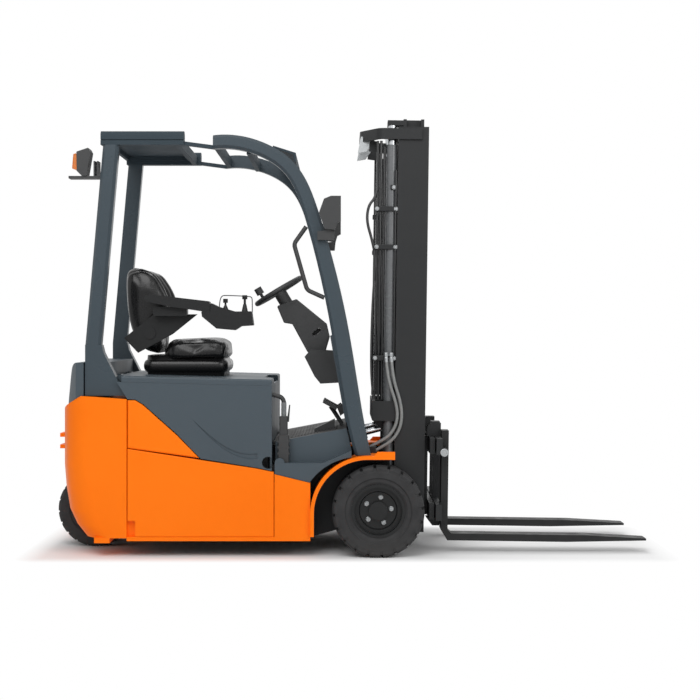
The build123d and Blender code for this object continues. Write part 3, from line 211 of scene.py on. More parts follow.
# two-part black chassis paint on rolled steel: satin, a little wavy from the mill scale below it
mastCoat = variedCoat("blackChassisPaint", {
    "light": "#2b2c2d", "dark": "#222324", "cloudMm": 180, "gloss": (0.36, 0.5), "grainMm": 5, "bump": 0.12,
    "shader": sheen(0.25)})
# drawn cylinder tube and bent pipe under a thin gloss enamel: long straight highlights
barrelCoat = variedCoat("glossTubeEnamel", {
    "light": "#6a6c6e", "dark": "#545658", "cloudMm": 40, "gloss": (0.2, 0.32), "grainMm": 3, "bump": 0.08,
    "shader": sheen(0.6)})
pipeCoat = variedCoat("glossPipeEnamel", {
    "light": "#1d1e1f", "dark": "#161718", "cloudMm": 40, "gloss": (0.16, 0.26), "grainMm": 3, "bump": 0.05,
    "shader": sheen(0.6)})
# forged fork steel under worn black paint: cloudy and dull
forkCoat = variedCoat("forgedForkSteel", {
    "light": "#282828", "dark": "#1c1d1e", "cloudMm": 60, "gloss": (0.4, 0.6), "grainMm": 4, "bump": 0.2,
    "shader": sheen(0.25)})
# carbon-black tyre rubber, press moulded: matt, dusty near the floor
tyreRubber = variedCoat("mouldedTyreRubber", {
    "light": "#2e2e2f", "dark": "#252526", "cloudMm": 45, "gloss": (0.62, 0.8), "grainMm": 3, "bump": 0.2,
    "dust": "#55524d", "dustTopMm": 120, "dustShare": 0.3,
    "shader": sheen(0.35, 1.52)})
# stoved wheel enamel on pressed steel: near black with a soft shine
rimCoat = variedCoat("blackWheelEnamel", {
    "light": "#1d1e1f", "dark": "#161717", "cloudMm": 80, "gloss": (0.3, 0.42), "grainMm": 5, "bump": 0.08,
    "shader": sheen(0.3)})
# injection-moulded ABS with a spark-eroded grain: soft sheen broken into fine cells
blackAbs = variedCoat("grainedBlackAbs", {
    "light": "#2b2c2d", "dark": "#242526", "cloudMm": 120, "gloss": (0.46, 0.6), "grainMm": 3.5, "bump": 0.25,
    "pebble": "cells", "shader": {"IOR": 1.53}})
# skinned polyurethane foam of arm rest and console: deep black, soft and nearly matt
armFoam = variedCoat("skinnedArmrestFoam", {
    "light": "#18191a", "dark": "#131415", "cloudMm": 90, "gloss": (0.38, 0.52), "grainMm": 3.5, "bump": 0.2,
    "pebble": "cells", "shader": sheen(0.3)})
# PVC seat vinyl, embossed with a hide grain: satin, with pores
seatVinyl = variedCoat("embossedSeatVinyl", {
    "light": "#131314", "dark": "#0d0d0e", "cloudMm": 90, "gloss": (0.22, 0.34), "grainMm": 4, "bump": 0.2,
    "pebble": "cells", "shader": sheen(0.35, 1.52)})
# calendered mat rubber: matt and a little patchy from wear
matRubber = variedCoat("ribbedMatRubber", {
    "light": "#2a2a2a", "dark": "#202020", "cloudMm": 70, "gloss": (0.6, 0.75), "grainMm": 4, "bump": 0.2,
    "shader": {"IOR": 1.52}})
# dipped acid-proof coat on the battery tray: dull and thick
batteryCoat = variedCoat("acidProofBatteryCoat", {
    "light": "#303134", "dark": "#292a2d", "cloudMm": 150, "gloss": (0.5, 0.65), "grainMm": 5, "bump": 0.1,
    "shader": {"IOR": 1.5}})
# hard-chromed and ground rod steel: bright, with faint turned rings
rodChrome = variedCoat("groundRodChrome", {
    "light": "#c9cbcd", "dark": "#b4b7ba", "cloudMm": 30, "gloss": (0.14, 0.24), "grainMm": 2, "bump": 0.05,
    "shader": {"Metallic": 1.0}})
# oiled leaf-chain steel: dark, greasy and uneven
chainSteel = variedCoat("oiledChainSteel", {
    "light": "#6a6866", "dark": "#3f3e3d", "cloudMm": 14, "gloss": (0.3, 0.5), "grainMm": 3, "bump": 0.1,
    "shader": {"Metallic": 0.9}})
# zinc-plated steel: pale metal with a cloudy, half-dull shine
zincSteel = variedCoat("zincPlatedSteel", {
    "light": "#b9bcbd", "dark": "#9a9d9f", "cloudMm": 18, "gloss": (0.3, 0.42), "grainMm": 2, "bump": 0.08,
    "shader": {"Metallic": 0.85}})
# amber polycarbonate lens: clear colour that lets light in
amberLens = variedCoat("amberPolycarbonate", {
    "light": "#f08a1c", "dark": "#d96a0c", "cloudMm": 40, "gloss": (0.1, 0.18), "grainMm": 6, "bump": 0.2,
    "shader": {"IOR": 1.58, "Transmission Weight": 0.35, "Coat Weight": 0.5}})
# hydraulic hose: smooth black rubber cover, and a paler textile one
hoseRubber = variedCoat("smoothHoseRubber", {
    "light": "#2c2c2d", "dark": "#232324", "cloudMm": 30, "gloss": (0.35, 0.5), "grainMm": 3, "bump": 0.1,
    "shader": {"IOR": 1.52}})
hoseTextile = variedCoat("braidedHoseTextile", {
    "light": "#8d8f8e", "dark": "#6f7170", "cloudMm": 12, "gloss": (0.55, 0.7), "grainMm": 3, "bump": 0.3,
    "pebble": "cells", "shader": {"IOR": 1.5}})
# silvered mirror glass: sharp, very slightly wavy reflection
mirrorGlass = variedCoat("silveredMirrorGlass", {
    "light": "#ccd1d4", "dark": "#c2c8cb", "cloudMm": 60, "gloss": (0.03, 0.07), "grainMm": 20, "bump": 0.02,
    "shader": {"Metallic": 1.0}})
# extruded nylon conduit, pale grey and dull
conduitNylon = variedCoat("corrugatedNylonConduit", {
    "light": "#7d8082", "dark": "#6a6d6f", "cloudMm": 20, "gloss": (0.45, 0.6), "grainMm": 3, "bump": 0.1,
    "shader": {"IOR": 1.53}})
print("materials made:", len(bpy.data.materials))

finishOf = {
    orangeCoat: ["counterweight", "side_doors", "corner_panels"],
    frameCoat: ["main_frame"],
    fenderShadedCoat: ["fenders"],
    slateCoat: ["rear_cover", "hood_sides", "hood_lid", "hood_front_wall", "steps", "cowl"],
    guardCoat: ["guard_front_legs", "guard_rear_legs"],
    roofShadedCoat: ["guard_roof", "roof_bars"],
    mastCoat: ["mast_outer", "mast_inner", "carriage", "shift_frame", "drive_axle", "steer_unit",
               "tilt_barrels"],
    barrelCoat: ["lift_barrels"],
    forkCoat: ["forks"],
    tyreRubber: ["front_tyre_right", "front_tyre_left", "rear_tyres"],
    rimCoat: ["front_rim_right", "front_rim_left", "rear_rims"],
    blackAbs: ["steering_column", "steering_wheel", "pedals", "grab_handle", "mirrors", "battery_plug",
               "beacon"],
    armFoam: ["armrest", "console", "seat_pan"],
    seatVinyl: ["seat_cushion", "seat_back"],
    matRubber: ["floor_plate"],
    batteryCoat: ["battery"],
    rodChrome: ["lift_rods", "tilt_rods"],
    chainSteel: ["sheaves", "chain_rear", "chain_front"],
    amberLens: ["beacon_lens"],
}
for finish, names in finishOf.items():
    for name in names:
        slots = nodes[name].data.materials
        if len(slots) == 0:
            slots.append(finish)
        for i in range(len(slots)):
            slots[i] = finish
print("CAD nodes dressed")


def fromAxle(x, y, z):  # mm ahead of the front axle, mm to the left, mm above the floor
    return Vector((axleX + x / 1000, y / 1000, z / 1000))


def onMast(x, y, z):  # the same place, leaning with the mast about the axle
    upright = Vector((x / 1000, y / 1000, z / 1000 - axleZ))
    return Matrix.Rotation(mastLean, 3, "Y") @ upright + Vector((axleX, 0, axleZ))


def linked(name, data):  # a new object, put in the scene
    obj = bpy.data.objects.new(name, data)
    bpy.context.collection.objects.link(obj)
    return obj


def settle(name, mesh, body, finish=None):  # a finished mesh becomes a piece on its body
    if finish:
        mesh.materials.clear()
        mesh.materials.append(finish)
    piece = linked(name, mesh)
    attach(piece, body)
    return piece


def plainMesh(obj):  # what the modifiers give, as a mesh of its own
    graph = bpy.context.evaluated_depsgraph_get()
    mesh = bpy.data.meshes.new_from_object(obj.evaluated_get(graph), depsgraph=graph)
    bpy.data.objects.remove(obj)
    return mesh


def looseObject(name, bm):
    mesh = bpy.data.meshes.new(name)
    bmesh.ops.recalc_face_normals(bm, faces=bm.faces)
    bm.to_mesh(mesh)
    bm.free()
    return linked(name, mesh)


def lofted(bm, rings):  # closed skin over rings of vertices, capped at both ends
    for low, high in zip(rings, rings[1:]):
        for i in range(len(low)):
            bm.faces.new((low[i], low[(i + 1) % len(low)], high[(i + 1) % len(low)], high[i]))
    bm.faces.new(list(reversed(rings[0])))
    bm.faces.new(rings[-1])


def turned(bm, profile, sides):  # closed turned shape about Z from (radius, height) in mm
    angles = [2 * math.pi * i / sides for i in range(sides)]
    lofted(bm, [[bm.verts.new((radius / 1000 * math.cos(angle), radius / 1000 * math.sin(angle),
                               height / 1000)) for angle in angles] for radius, height in profile])


def hexHead(bm, spec, foot, edge, top, hollow=()):  # chamfered hexagon between heights in mm
    corner = spec["flats"] / math.sqrt(3)
    turned(bm, [(corner, foot), (corner, edge), (corner * spec["chamfer"], top), *hollow], 6)


def extruded(bm, corners, depth):  # flat outline of points, pushed along a vector
    lofted(bm, [[bm.verts.new(corner) for corner in corners],
                [bm.verts.new(corner + depth) for corner in corners]])


def sideView(place, x, y, z):  # corners of a rectangle in side view, from ranges of x and z
    return [place(x[0], y, z[0]), place(x[1], y, z[0]), place(x[1], y, z[1]), place(x[0], y, z[1])]


def bevelled(obj, width):
    bevel = obj.modifiers.new("softEdges", "BEVEL")
    bevel.width = width / 1000
    bevel.segments = 2
    bevel.limit_method = "ANGLE"
    return obj


def newTree(name, inputs):
    tree = bpy.data.node_groups.new(name, "GeometryNodeTree")
    for label, kind in inputs.items():
        tree.interface.new_socket(label, in_out="INPUT", socket_type=kind)
    tree.interface.new_socket("Geometry", in_out="OUTPUT", socket_type="NodeSocketGeometry")
    return tree, addNode(tree, "NodeGroupInput").outputs


def endTree(tree, instances, finish):
    real = addNode(tree, "GeometryNodeRealizeInstances", {}, {0: instances})
    dressed = addNode(tree, "GeometryNodeSetMaterial", {}, {"Geometry": real.outputs[0], "Material": finish})
    addNode(tree, "NodeGroupOutput", {}, {0: dressed.outputs[0]})


def buildRingTree():  # copies of one part in a circle, as nuts on a wheel
    tree, given = newTree("ringOfParts", {
        "Part": "NodeSocketObject", "Count": "NodeSocketInt", "Radius": "NodeSocketFloat",
        "Turn": "NodeSocketVector", "Centre": "NodeSocketVector", "Finish": "NodeSocketMaterial"})
    circle = addNode(tree, "GeometryNodeMeshCircle", {},
                     {"Vertices": given["Count"], "Radius": given["Radius"]})
    place = addNode(tree, "GeometryNodeInputPosition")
    outward = addNode(tree, "FunctionNodeAlignRotationToVector", {"axis": "X", "pivot_axis": "Z"},
                      {"Vector": place.outputs[0]})
    part = addNode(tree, "GeometryNodeObjectInfo", {}, {"Object": given["Part"]})
    copies = addNode(tree, "GeometryNodeInstanceOnPoints", {},
                     {"Points": circle.outputs[0], "Instance": part.outputs["Geometry"],
                      "Rotation": outward.outputs[0]})
    placed = addNode(tree, "GeometryNodeTransform", {},
                     {"Geometry": copies.outputs[0], "Translation": given["Centre"],
                      "Rotation": given["Turn"]})
    endTree(tree, placed.outputs[0], given["Finish"])
    return tree


def buildRowTree():  # copies of one part in a straight row, as links and ribs
    tree, given = newTree("rowOfParts", {
        "Part": "NodeSocketObject", "Count": "NodeSocketInt", "Start": "NodeSocketVector",
        "Step": "NodeSocketVector", "Turn": "NodeSocketVector", "Finish": "NodeSocketMaterial"})
    line = addNode(tree, "GeometryNodeMeshLine", {},
                   {"Count": given["Count"], "Start Location": given["Start"], "Offset": given["Step"]})
    part = addNode(tree, "GeometryNodeObjectInfo", {}, {"Object": given["Part"]})
    copies = addNode(tree, "GeometryNodeInstanceOnPoints", {},
                     {"Points": line.outputs[0], "Instance": part.outputs["Geometry"],
                      "Rotation": given["Turn"]})
    endTree(tree, copies.outputs[0], given["Finish"])
    return tree


def buildSpotTree():  # copies of one part at the vertices of a mesh, each along its facing
    tree, given = newTree("partsAtSpots", {
        "Spots": "NodeSocketGeometry", "Part": "NodeSocketObject", "Finish": "NodeSocketMaterial"})
    facing = addNode(tree, "GeometryNodeInputNamedAttribute", {"data_type": "FLOAT_VECTOR", "Name": "facing"})
    turn = addNode(tree, "FunctionNodeAlignRotationToVector", {"axis": "Z"}, {"Vector": facing.outputs[0]})
    part = addNode(tree, "GeometryNodeObjectInfo", {}, {"Object": given["Part"]})
    copies = addNode(tree, "GeometryNodeInstanceOnPoints", {},
                     {"Points": given["Spots"], "Instance": part.outputs["Geometry"],
                      "Rotation": turn.outputs[0]})
    endTree(tree, copies.outputs[0], given["Finish"])
    return tree


ringTree, rowTree, spotTree = buildRingTree(), buildRowTree(), buildSpotTree()


def grow(name, tree, inputs, base=None):  # run a tree with its inputs and keep the plain mesh
    obj = linked(name, base or bpy.data.meshes.new(name))
    modifier = obj.modifiers.new(name, "NODES")
    sockets = {item.name: item.identifier for item in tree.interface.items_tree if item.in_out == "INPUT"}
    modifier.node_group = tree
    for label, value in inputs.items():
        modifier[sockets[label]] = value
    return plainMesh(obj)


def scatter(name, bm, spots, body):  # one zinc part at each place, turned to face its way
    part = looseObject(name + "Shape", bm)
    base = bpy.data.meshes.new(name + "Spots")
    base.from_pydata([tuple(place) for place, _ in spots], [], [])
    base.attributes.new("facing", "FLOAT_VECTOR", "POINT")
    for row, (_, facing) in zip(base.attributes["facing"].data, spots):
        row.vector = facing
    settle(name, grow(name, spotTree, {"Part": part, "Finish": zincSteel}, base), body)
    bpy.data.objects.remove(part)


def tubeMesh(name, points, radius, finish):  # round tube on a smooth line through control points
    curve = bpy.data.curves.new(name, "CURVE")
    curve.dimensions = "3D"
    curve.bevel_depth = radius / 1000
    curve.bevel_resolution = 4
    curve.use_fill_caps = True
    spline = curve.splines.new("NURBS")
    spline.points.add(len(points) - 1)
    for point, place in zip(spline.points, points):
        point.co = (*place, 1)
    spline.order_u = 3
    spline.use_endpoint_u = True
    spline.resolution_u = 6
    curve.materials.append(finish)
    return plainMesh(linked(name, curve))


# what sits on each wheel: label, kind, body and side
wheelSides = [("Right", "front", "front_wheel_right", -1), ("Left", "front", "front_wheel_left", 1),
              ("RearRight", "rear", "rear_wheels", -1), ("RearLeft", "rear", "rear_wheels", 1)]


def ringOnWheel(name, part, kind, hand, ring, out, finish):  # parts round a wheel's axle, facing out
    x, z = (axleX, axleZ) if kind == "front" else (rearX, rearZ)
    return grow(name, ringTree, {
        "Part": part, "Count": ring["count"], "Radius": ring["radius"] / 1000, "Finish": finish,
        "Turn": (-hand * math.pi / 2, math.radians(ring["turn"]), 0), "Centre": (x, hand * out / 1000, z)})


# wheel nuts: hex with a flange and a hollow for the stud, in a ring on each wheel disc
wheelNut = {"flats": 19, "height": 14, "chamfer": 0.86, "flange": 12.5, "flangeSides": 24, "stud": 6,
            "hollow": 9,
            "front": {"count": 5, "radius": 66, "turn": -6.5, "outFromMiddle": 18.2, "middle": 447.5},
            "rear": {"count": 6, "radius": 76, "turn": 0, "outFromMiddle": 18.2, "middle": 87.5}}


def buildWheelNuts():
    bm = bmesh.new()
    flange, height, stud = wheelNut["flange"], wheelNut["height"], wheelNut["stud"]
    corner = wheelNut["flats"] / math.sqrt(3)
    turned(bm, [(flange - 1, 0), (flange, 1.5), (flange, 3), (corner, 4)], wheelNut["flangeSides"])
    hollow = [(stud, height), (stud - 0.5, height - wheelNut["hollow"])]
    hexHead(bm, wheelNut, 3.5, height - 2, height, hollow)
    nut = looseObject("nutShape", bm)
    for label, kind, body, hand in wheelSides:
        ring = wheelNut[kind]
        out = ring["middle"] + ring["outFromMiddle"]
        mesh = ringOnWheel("nuts" + label, nut, kind, hand, ring, out, zincSteel)
        settle("wheelNuts" + label, mesh, body)
    bpy.data.objects.remove(nut)


# lift chains: leaf plates on pins, one run over each side of the sheaves
liftChain = {"pitch": 19.05, "plate": 2.0, "leafStep": 3.8, "leaves": 6, "height": 17, "arcSteps": 6,
             "pin": 4.2, "pinOut": 15, "pinSides": 10, "inset": 13.5, "endMargin": 10}


def buildChains():
    spec = liftChain
    bm = bmesh.new()
    half, step = spec["height"] / 2000, spec["pitch"] / 1000
    for leaf in range(spec["leaves"]):
        across = (leaf - (spec["leaves"] - 1) / 2) * spec["leafStep"]
        low = 0 if leaf % 2 else -step / 2
        outline = []
        for end, start in ((low + step, 0), (low, math.pi)):
            for i in range(spec["arcSteps"] + 1):
                angle = start + math.pi * i / spec["arcSteps"]
                outline.append(Vector((half * math.cos(angle), (across - spec["plate"] / 2) / 1000,
                                       end + half * math.sin(angle))))
        extruded(bm, outline, Vector((0, spec["plate"] / 1000, 0)))
    for height in (0, step / 2):
        shapes = len(bm.verts)
        turned(bm, [(spec["pin"], -spec["pinOut"]), (spec["pin"], spec["pinOut"])], spec["pinSides"])
        bm.verts.ensure_lookup_table()
        bmesh.ops.rotate(bm, verts=bm.verts[shapes:], matrix=Matrix.Rotation(math.pi / 2, 3, "X"))
        bmesh.ops.translate(bm, verts=bm.verts[shapes:], vec=(0, 0, height))
    link = looseObject("linkShape", bm)
    runs = [("Rear", "chain_rear", "mast_outer", "mast_inner", 1),
            ("Front", "chain_front", "mast_inner", "carriage", -1)]
    for label, node, low, high, rise in runs:
        corner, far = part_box(node)
        along = Vector(liftAxis)
        midX, tall = (corner[0] + far[0]) / 2, far[2] - corner[2]
        bm = bmesh.new()
        for hand in (-1, 1):
            start = (midX - along.x / along.z * tall / 2, hand * (far[1] - spec["inset"] / 1000),
                     corner[2] + step / 2 + half)
            mesh = grow(f"chain{label}{hand}", rowTree, {
                "Part": link, "Count": int((tall - 2 * half) / step), "Start": start,
                "Step": tuple(along * step), "Turn": (0, mastLean, 0), "Finish": chainSteel})
            bm.from_mesh(mesh)
        bm.to_mesh(mesh)
        bm.free()
        piece = linked("liftChain" + label, mesh)
        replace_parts(piece, node)
        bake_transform(piece)
    bpy.data.objects.remove(link)


# plumbing on the mast: pipes, hoses and clamps; x, y, z in mm from the axle, leaning with the mast
mastPlumbing = {
    "pipes": [("Outer", 5, [(72, -295, 1930), (72, -295, 1700), (72, -295, 1400), (72, -295, 985)]),
              ("Inner", 7, [(-4, -268, 2080), (-4, -268, 1800), (-4, -268, 1400), (-4, -268, 765)]),
              ("Middle", 8, [(14, -258, 2050), (14, -258, 1800), (14, -258, 1400), (14, -258, 765)]),
              ("Rear", 6, [(-21, -262, 2080), (-21, -262, 1800), (-21, -262, 1400), (-21, -262, 765)])],
    "hoses": [("Loop", 7, [(-24, -276, 1830), (-30, -280, 1790), (-66, -282, 1750), (-74, -282, 1670),
                           (-46, -280, 1580), (-28, -276, 1500), (-27, -276, 1440)]),
              ("Return", 5, [(-27, -276, 1440), (-36, -276, 1330), (-42, -276, 1120), (-42, -276, 920),
                             (-34, -276, 820), (-26, -276, 765)])],
    "clamps": [(1842, 44, 84), (1733, -32, 84), (1540, -32, 84), (977, -32, 84)], "clampHigh": 26,
    "clampInside": 288.4, "clampThick": 9, "saddle": (-32, 26), "saddleDeep": 27, "bevel": 4}


def buildMastPlumbing():
    spec = mastPlumbing
    for label, radius, points in spec["pipes"]:
        for hand, sideName in ((1, "Right"), (-1, "Left")):
            mesh = tubeMesh("pipe" + label, [onMast(x, hand * y, z) for x, y, z in points], radius, pipeCoat)
            settle("mastPipe" + label + sideName, mesh, "mast_outer")
    for label, radius, points in spec["hoses"]:
        mesh = tubeMesh("hose" + label, [onMast(x, y, z) for x, y, z in points], radius, hoseRubber)
        settle("mastHose" + label, mesh, "mast_outer")
    for hand, sideName in ((1, "Right"), (-1, "Left")):
        bm = bmesh.new()
        inside = -hand * spec["clampInside"]
        for z, rear, front in spec["clamps"]:
            heights = (z - spec["clampHigh"] / 2, z + spec["clampHigh"] / 2)
            extruded(bm, sideView(onMast, (rear, front), inside, heights),
                     Vector((0, -hand * spec["clampThick"] / 1000, 0)))
            if rear <= spec["saddle"][0]:  # block behind the strap that grips the pipes
                extruded(bm, sideView(onMast, spec["saddle"], inside, heights),
                         Vector((0, hand * spec["saddleDeep"] / 1000, 0)))
        mesh = plainMesh(bevelled(looseObject("clampShape", bm), spec["bevel"]))
        settle("hoseClamps" + sideName, mesh, "mast_outer", mastCoat)


# hoses from the mast down to the chassis
tiltHoses = {"radius": 8, "routes": [
    ("A", [(34, -306, 985), (38, -311, 930), (52, -312, 850), (84, -312, 760), (96, -312, 700),
           (90, -312, 645), (60, -312, 590), (10, -312, 556), (-40, -312, 530)]),
    ("B", [(60, -306, 985), (64, -311, 930), (78, -312, 850), (106, -312, 770), (118, -312, 700),
           (112, -312, 630), (78, -312, 570), (30, -312, 535), (-30, -312, 502)])], "flexFrom": 4}


def buildTiltHoses():
    for label, points in tiltHoses["routes"]:
        places = [onMast(*point) for point in points]
        mesh = tubeMesh("tiltHose" + label, places, tiltHoses["radius"], hoseTextile)
        piece = linked("tiltHose" + label, mesh)
        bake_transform(piece)


# block on the frame's side plate that takes the lower ends of the tilt hoses: mm from the axle
hoseBracket = {"x": (-53, -8), "y": (-333.5, -296), "z": (450, 533), "bevel": 3}


def buildHoseBracket():
    spec = hoseBracket
    bm = bmesh.new()
    extruded(bm, sideView(fromAxle, spec["x"], spec["y"][0], spec["z"]),
             Vector((0, (spec["y"][1] - spec["y"][0]) / 1000, 0)))
    mesh = plainMesh(bevelled(looseObject("bracketShape", bm), spec["bevel"]))
    settle("hoseBracket", mesh, "chassis", mastCoat)


# hex bolts on the clamps: (x, z) on the mast and how far out, mm
bolts = {"flats": 14, "height": 7, "chamfer": 0.85, "washer": 10.5, "washerSides": 20, "out": 297.6,
         "places": [(62, 1842), (-22, 1733), (74, 1733), (-22, 1540), (74, 1540), (-22, 977), (74, 977)]}


def buildBolts():
    bm = bmesh.new()
    turned(bm, [(bolts["washer"], 0), (bolts["washer"], 1.6)], bolts["washerSides"])
    hexHead(bm, bolts, 1.4, bolts["height"] - 1.5, bolts["height"])
    scatter("mastBolts", bm, [(onMast(x, hand * bolts["out"], z), (0, hand, 0))
                              for hand in (-1, 1) for x, z in bolts["places"]], "mast_outer")


# thin rod in a black plastic sleeve that guards the levers on the console
leverGuard = {"radius": 2.5, "across": -368,
              "route": [(-793, 1232), (-792, 1262), (-782, 1290), (-762, 1293), (-650, 1288), (-630, 1284),
                        (-628, 1262), (-628, 1208)]}


def buildLeverGuard():
    points = [fromAxle(x, leverGuard["across"], z) for x, z in leverGuard["route"]]
    mesh = tubeMesh("leverGuard", points, leverGuard["radius"], blackAbs)
    settle("leverGuard", mesh, "hood")


# seat pads: start shapes in mm, inflated as cloth, then the sewn channels are pressed in
seatPads = {
    "halfWide": 226, "stations": 33, "loopSteps": 6, "squareness": 5, "draw": (0.72, 0.28),
    "wing": (0.3, 0.5), "voxel": 5.5, "frames": 20, "holdLow": 12, "holdRear": 45, "holdSlope": 0.12,
    "holdTop": 1150,
    "cloth": {"quality": 6, "mass": 0.3, "use_pressure": True, "uniform_pressure_force": 4.0,
              "tension_stiffness": 25, "compression_stiffness": 25, "vertex_group_mass": "held"},
    "seam": {"faceFrom": 0.15, "faceGain": 1.5, "reach": 16, "width": 6}, "soften": 0.5, "softenSteps": 10,
    "cushion": {
        "outline": [(-1088, 976), (-900, 974), (-790, 974), (-770, 984), (-761, 1000), (-764, 1010),
                    (-757, 1028), (-768, 1056), (-840, 1070), (-960, 1066), (-1060, 1060), (-1086, 1044)],
        "middle": None, "cap": 9, "pin": "low", "fill": 0.7, "channels": [0, 75, 150], "deep": 5},
    "back": {
        "outline": [(-1150, 1004), (-1112, 1006), (-1110, 1100), (-1066, 1180), (-1072, 1296), (-1130, 1412),
                    (-1190, 1446), (-1250, 1440), (-1288, 1404), (-1284, 1240), (-1258, 1110), (-1200, 1024)],
        "middle": [(-1160, 1004), (-1122, 1006), (-1132, 1100), (-1156, 1180), (-1172, 1296), (-1190, 1402),
                   (-1216, 1444), (-1256, 1440), (-1290, 1404), (-1286, 1240), (-1260, 1110), (-1204, 1024)],
        "cap": 10, "pin": "rear", "fill": 0.65, "channels": [40, 95, 150, 200], "deep": 6}}


def smoothLoop(points, steps):  # closed Catmull-Rom line through an outline
    loop = []
    count = len(points)
    for i in range(count):
        a, b, c, d = (Vector(points[(i + k) % count]) for k in (-1, 0, 1, 2))
        for step in range(steps):
            t = step / steps
            loop.append(0.5 * (2 * b + (c - a) * t + (2 * a - 5 * b + 4 * c - d) * t ** 2
                               + (3 * b - a - 3 * c + d) * t ** 3))
    return loop


def padShell(name, pad):  # sections across the seat, drawn in at the sides
    side = smoothLoop(pad["outline"], seatPads["loopSteps"])
    centre = smoothLoop(pad["middle"] or pad["outline"], seatPads["loopSteps"])
    bm = bmesh.new()
    rings = []
    count = seatPads["stations"]
    wingFrom, wingSpan = seatPads["wing"]
    for k in range(count):
        share = -1 + 2 * k / (count - 1)
        swell = (1 - abs(share) ** seatPads["squareness"]) ** 0.5
        wing = min(max((abs(share) - wingFrom) / wingSpan, 0), 1)
        wing = wing * wing * (3 - 2 * wing)
        flat = [c.lerp(s, wing) for c, s in zip(centre, side)]
        heart = sum(flat, Vector((0, 0))) / len(flat)
        draw = seatPads["draw"][0] + seatPads["draw"][1] * swell
        rings.append([bm.verts.new(fromAxle(heart.x + (p.x - heart.x) * draw, share * seatPads["halfWide"],
                                            heart.y + (p.y - heart.y) * draw)) for p in flat])
    lofted(bm, rings)
    return looseObject(name, bm)


def inflate(obj, pad):  # remesh, blow up as cloth with its seat pinned, and cap the movement
    remesh = obj.modifiers.new("evenMesh", "REMESH")
    remesh.mode = "VOXEL"
    remesh.voxel_size = seatPads["voxel"] / 1000
    remesh.use_smooth_shade = True
    shell = linked(obj.name, plainMesh(obj))
    before = [v.co.copy() for v in shell.data.vertices]
    rearEnd, foot = min(v.x for v in before), min(v.z for v in before)
    held = shell.vertex_groups.new(name="held")
    for i, v in enumerate(before):
        low = v.z < foot + seatPads["holdLow"] / 1000
        lean = seatPads["holdSlope"] * max(0, seatPads["holdTop"] / 1000 - v.z)
        rear = v.x < rearEnd + seatPads["holdRear"] / 1000 + lean
        if low or (pad["pin"] == "rear" and rear):
            held.add([i], 1.0, "REPLACE")
    cloth = shell.modifiers.new("stuffing", "CLOTH")
    for key, value in seatPads["cloth"].items():
        setattr(cloth.settings, key, value)
    cloth.settings.effector_weights.gravity = 0
    cloth.point_cache.frame_start = 1
    cloth.point_cache.frame_end = seatPads["frames"]
    for frameNumber in range(1, seatPads["frames"] + 1):
        bpy.context.scene.frame_set(frameNumber)
    graph = bpy.context.evaluated_depsgraph_get()
    moved = [v.co.copy() for v in shell.evaluated_get(graph).data.vertices]
    shell.modifiers.clear()
    bpy.context.scene.frame_set(1)
    cap = pad["cap"] / 1000
    for i, v in enumerate(shell.data.vertices):
        shift = moved[i] - before[i]
        if shift.length > cap:
            shift *= cap / shift.length
        v.co = before[i] + shift
    return shell


def sewChannels(shell, pad):  # press the sewn lines into the face, along the length of the pad
    seam = seatPads["seam"]
    normals = [v.normal.copy() for v in shell.data.vertices]
    for v, normal in zip(shell.data.vertices, normals):
        face = max(normal.x, normal.z)
        if face < seam["faceFrom"]:
            continue
        firm = min(1, face * seam["faceGain"])
        for line in pad["channels"]:
            away = abs(abs(v.co.y) * 1000 - line)
            if away < seam["reach"]:
                v.co -= normal * (pad["deep"] / 1000) * math.exp(-(away / seam["width"]) ** 2) * firm
    smooth = shell.modifiers.new("softSkin", "SMOOTH")
    smooth.factor = seatPads["soften"]
    smooth.iterations = seatPads["softenSteps"]
    return plainMesh(shell)


def buildSeat():
    for label, node in (("cushion", "seat_cushion"), ("back", "seat_back")):
        pad = seatPads[label]
        shell = inflate(padShell(label + "Shell", pad), pad)
        mesh = sewChannels(shell, pad)
        for polygon in mesh.polygons:
            polygon.use_smooth = True
        piece = settle("seat" + label.capitalize() + "Pad", mesh, "hood", seatVinyl)
        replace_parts(piece, node)
        print("seat pad", label, len(mesh.polygons), "faces")


# rubber ribs along the floor mat: start and step follow the slope of the floor
matRibs = {"count": 15, "firstX": -430, "stepX": 16, "slope": 53 / 282, "levelAt": (-448, 575),
           "halfWide": 330, "wide": 7, "high": 3, "sink": 0.5, "topShare": 0.6}


def buildMatRibs():
    spec = matRibs
    bm = bmesh.new()
    half, foot, top = spec["wide"] / 2000, -spec["sink"] / 1000, spec["high"] / 1000
    topHalf = half * spec["topShare"]
    outline = [Vector((x, -spec["halfWide"] / 1000, z)) for x, z in
               ((-half, foot), (half, foot), (topHalf, top), (-topHalf, top))]
    extruded(bm, outline, Vector((0, 2 * spec["halfWide"] / 1000, 0)))
    rib = looseObject("ribShape", bm)
    levelX, levelZ = spec["levelAt"]
    first = fromAxle(spec["firstX"], 0, levelZ + spec["slope"] * (spec["firstX"] - levelX))
    mesh = grow("matRibs", rowTree, {
        "Part": rib, "Count": spec["count"], "Start": tuple(first), "Finish": matRubber,
        "Step": (spec["stepX"] / 1000, 0, spec["slope"] * spec["stepX"] / 1000),
        "Turn": (0, -math.atan(spec["slope"]), 0)})
    settle("floorMatRibs", mesh, "chassis")
    bpy.data.objects.remove(rib)


# stems that carry the pedal pads from the floor: radius and side view route in mm
pedalStems = {"radius": 8, "across": {"Right": -150, "Left": 30},
              "route": [(-240, 724), (-206, 676), (-177, 626)]}


def buildPedalStems():
    for label, across in pedalStems["across"].items():
        points = [fromAxle(x, across, z) for x, z in pedalStems["route"]]
        mesh = tubeMesh("pedalStem" + label, points, pedalStems["radius"], blackAbs)
        settle("pedalStem" + label, mesh, "chassis")


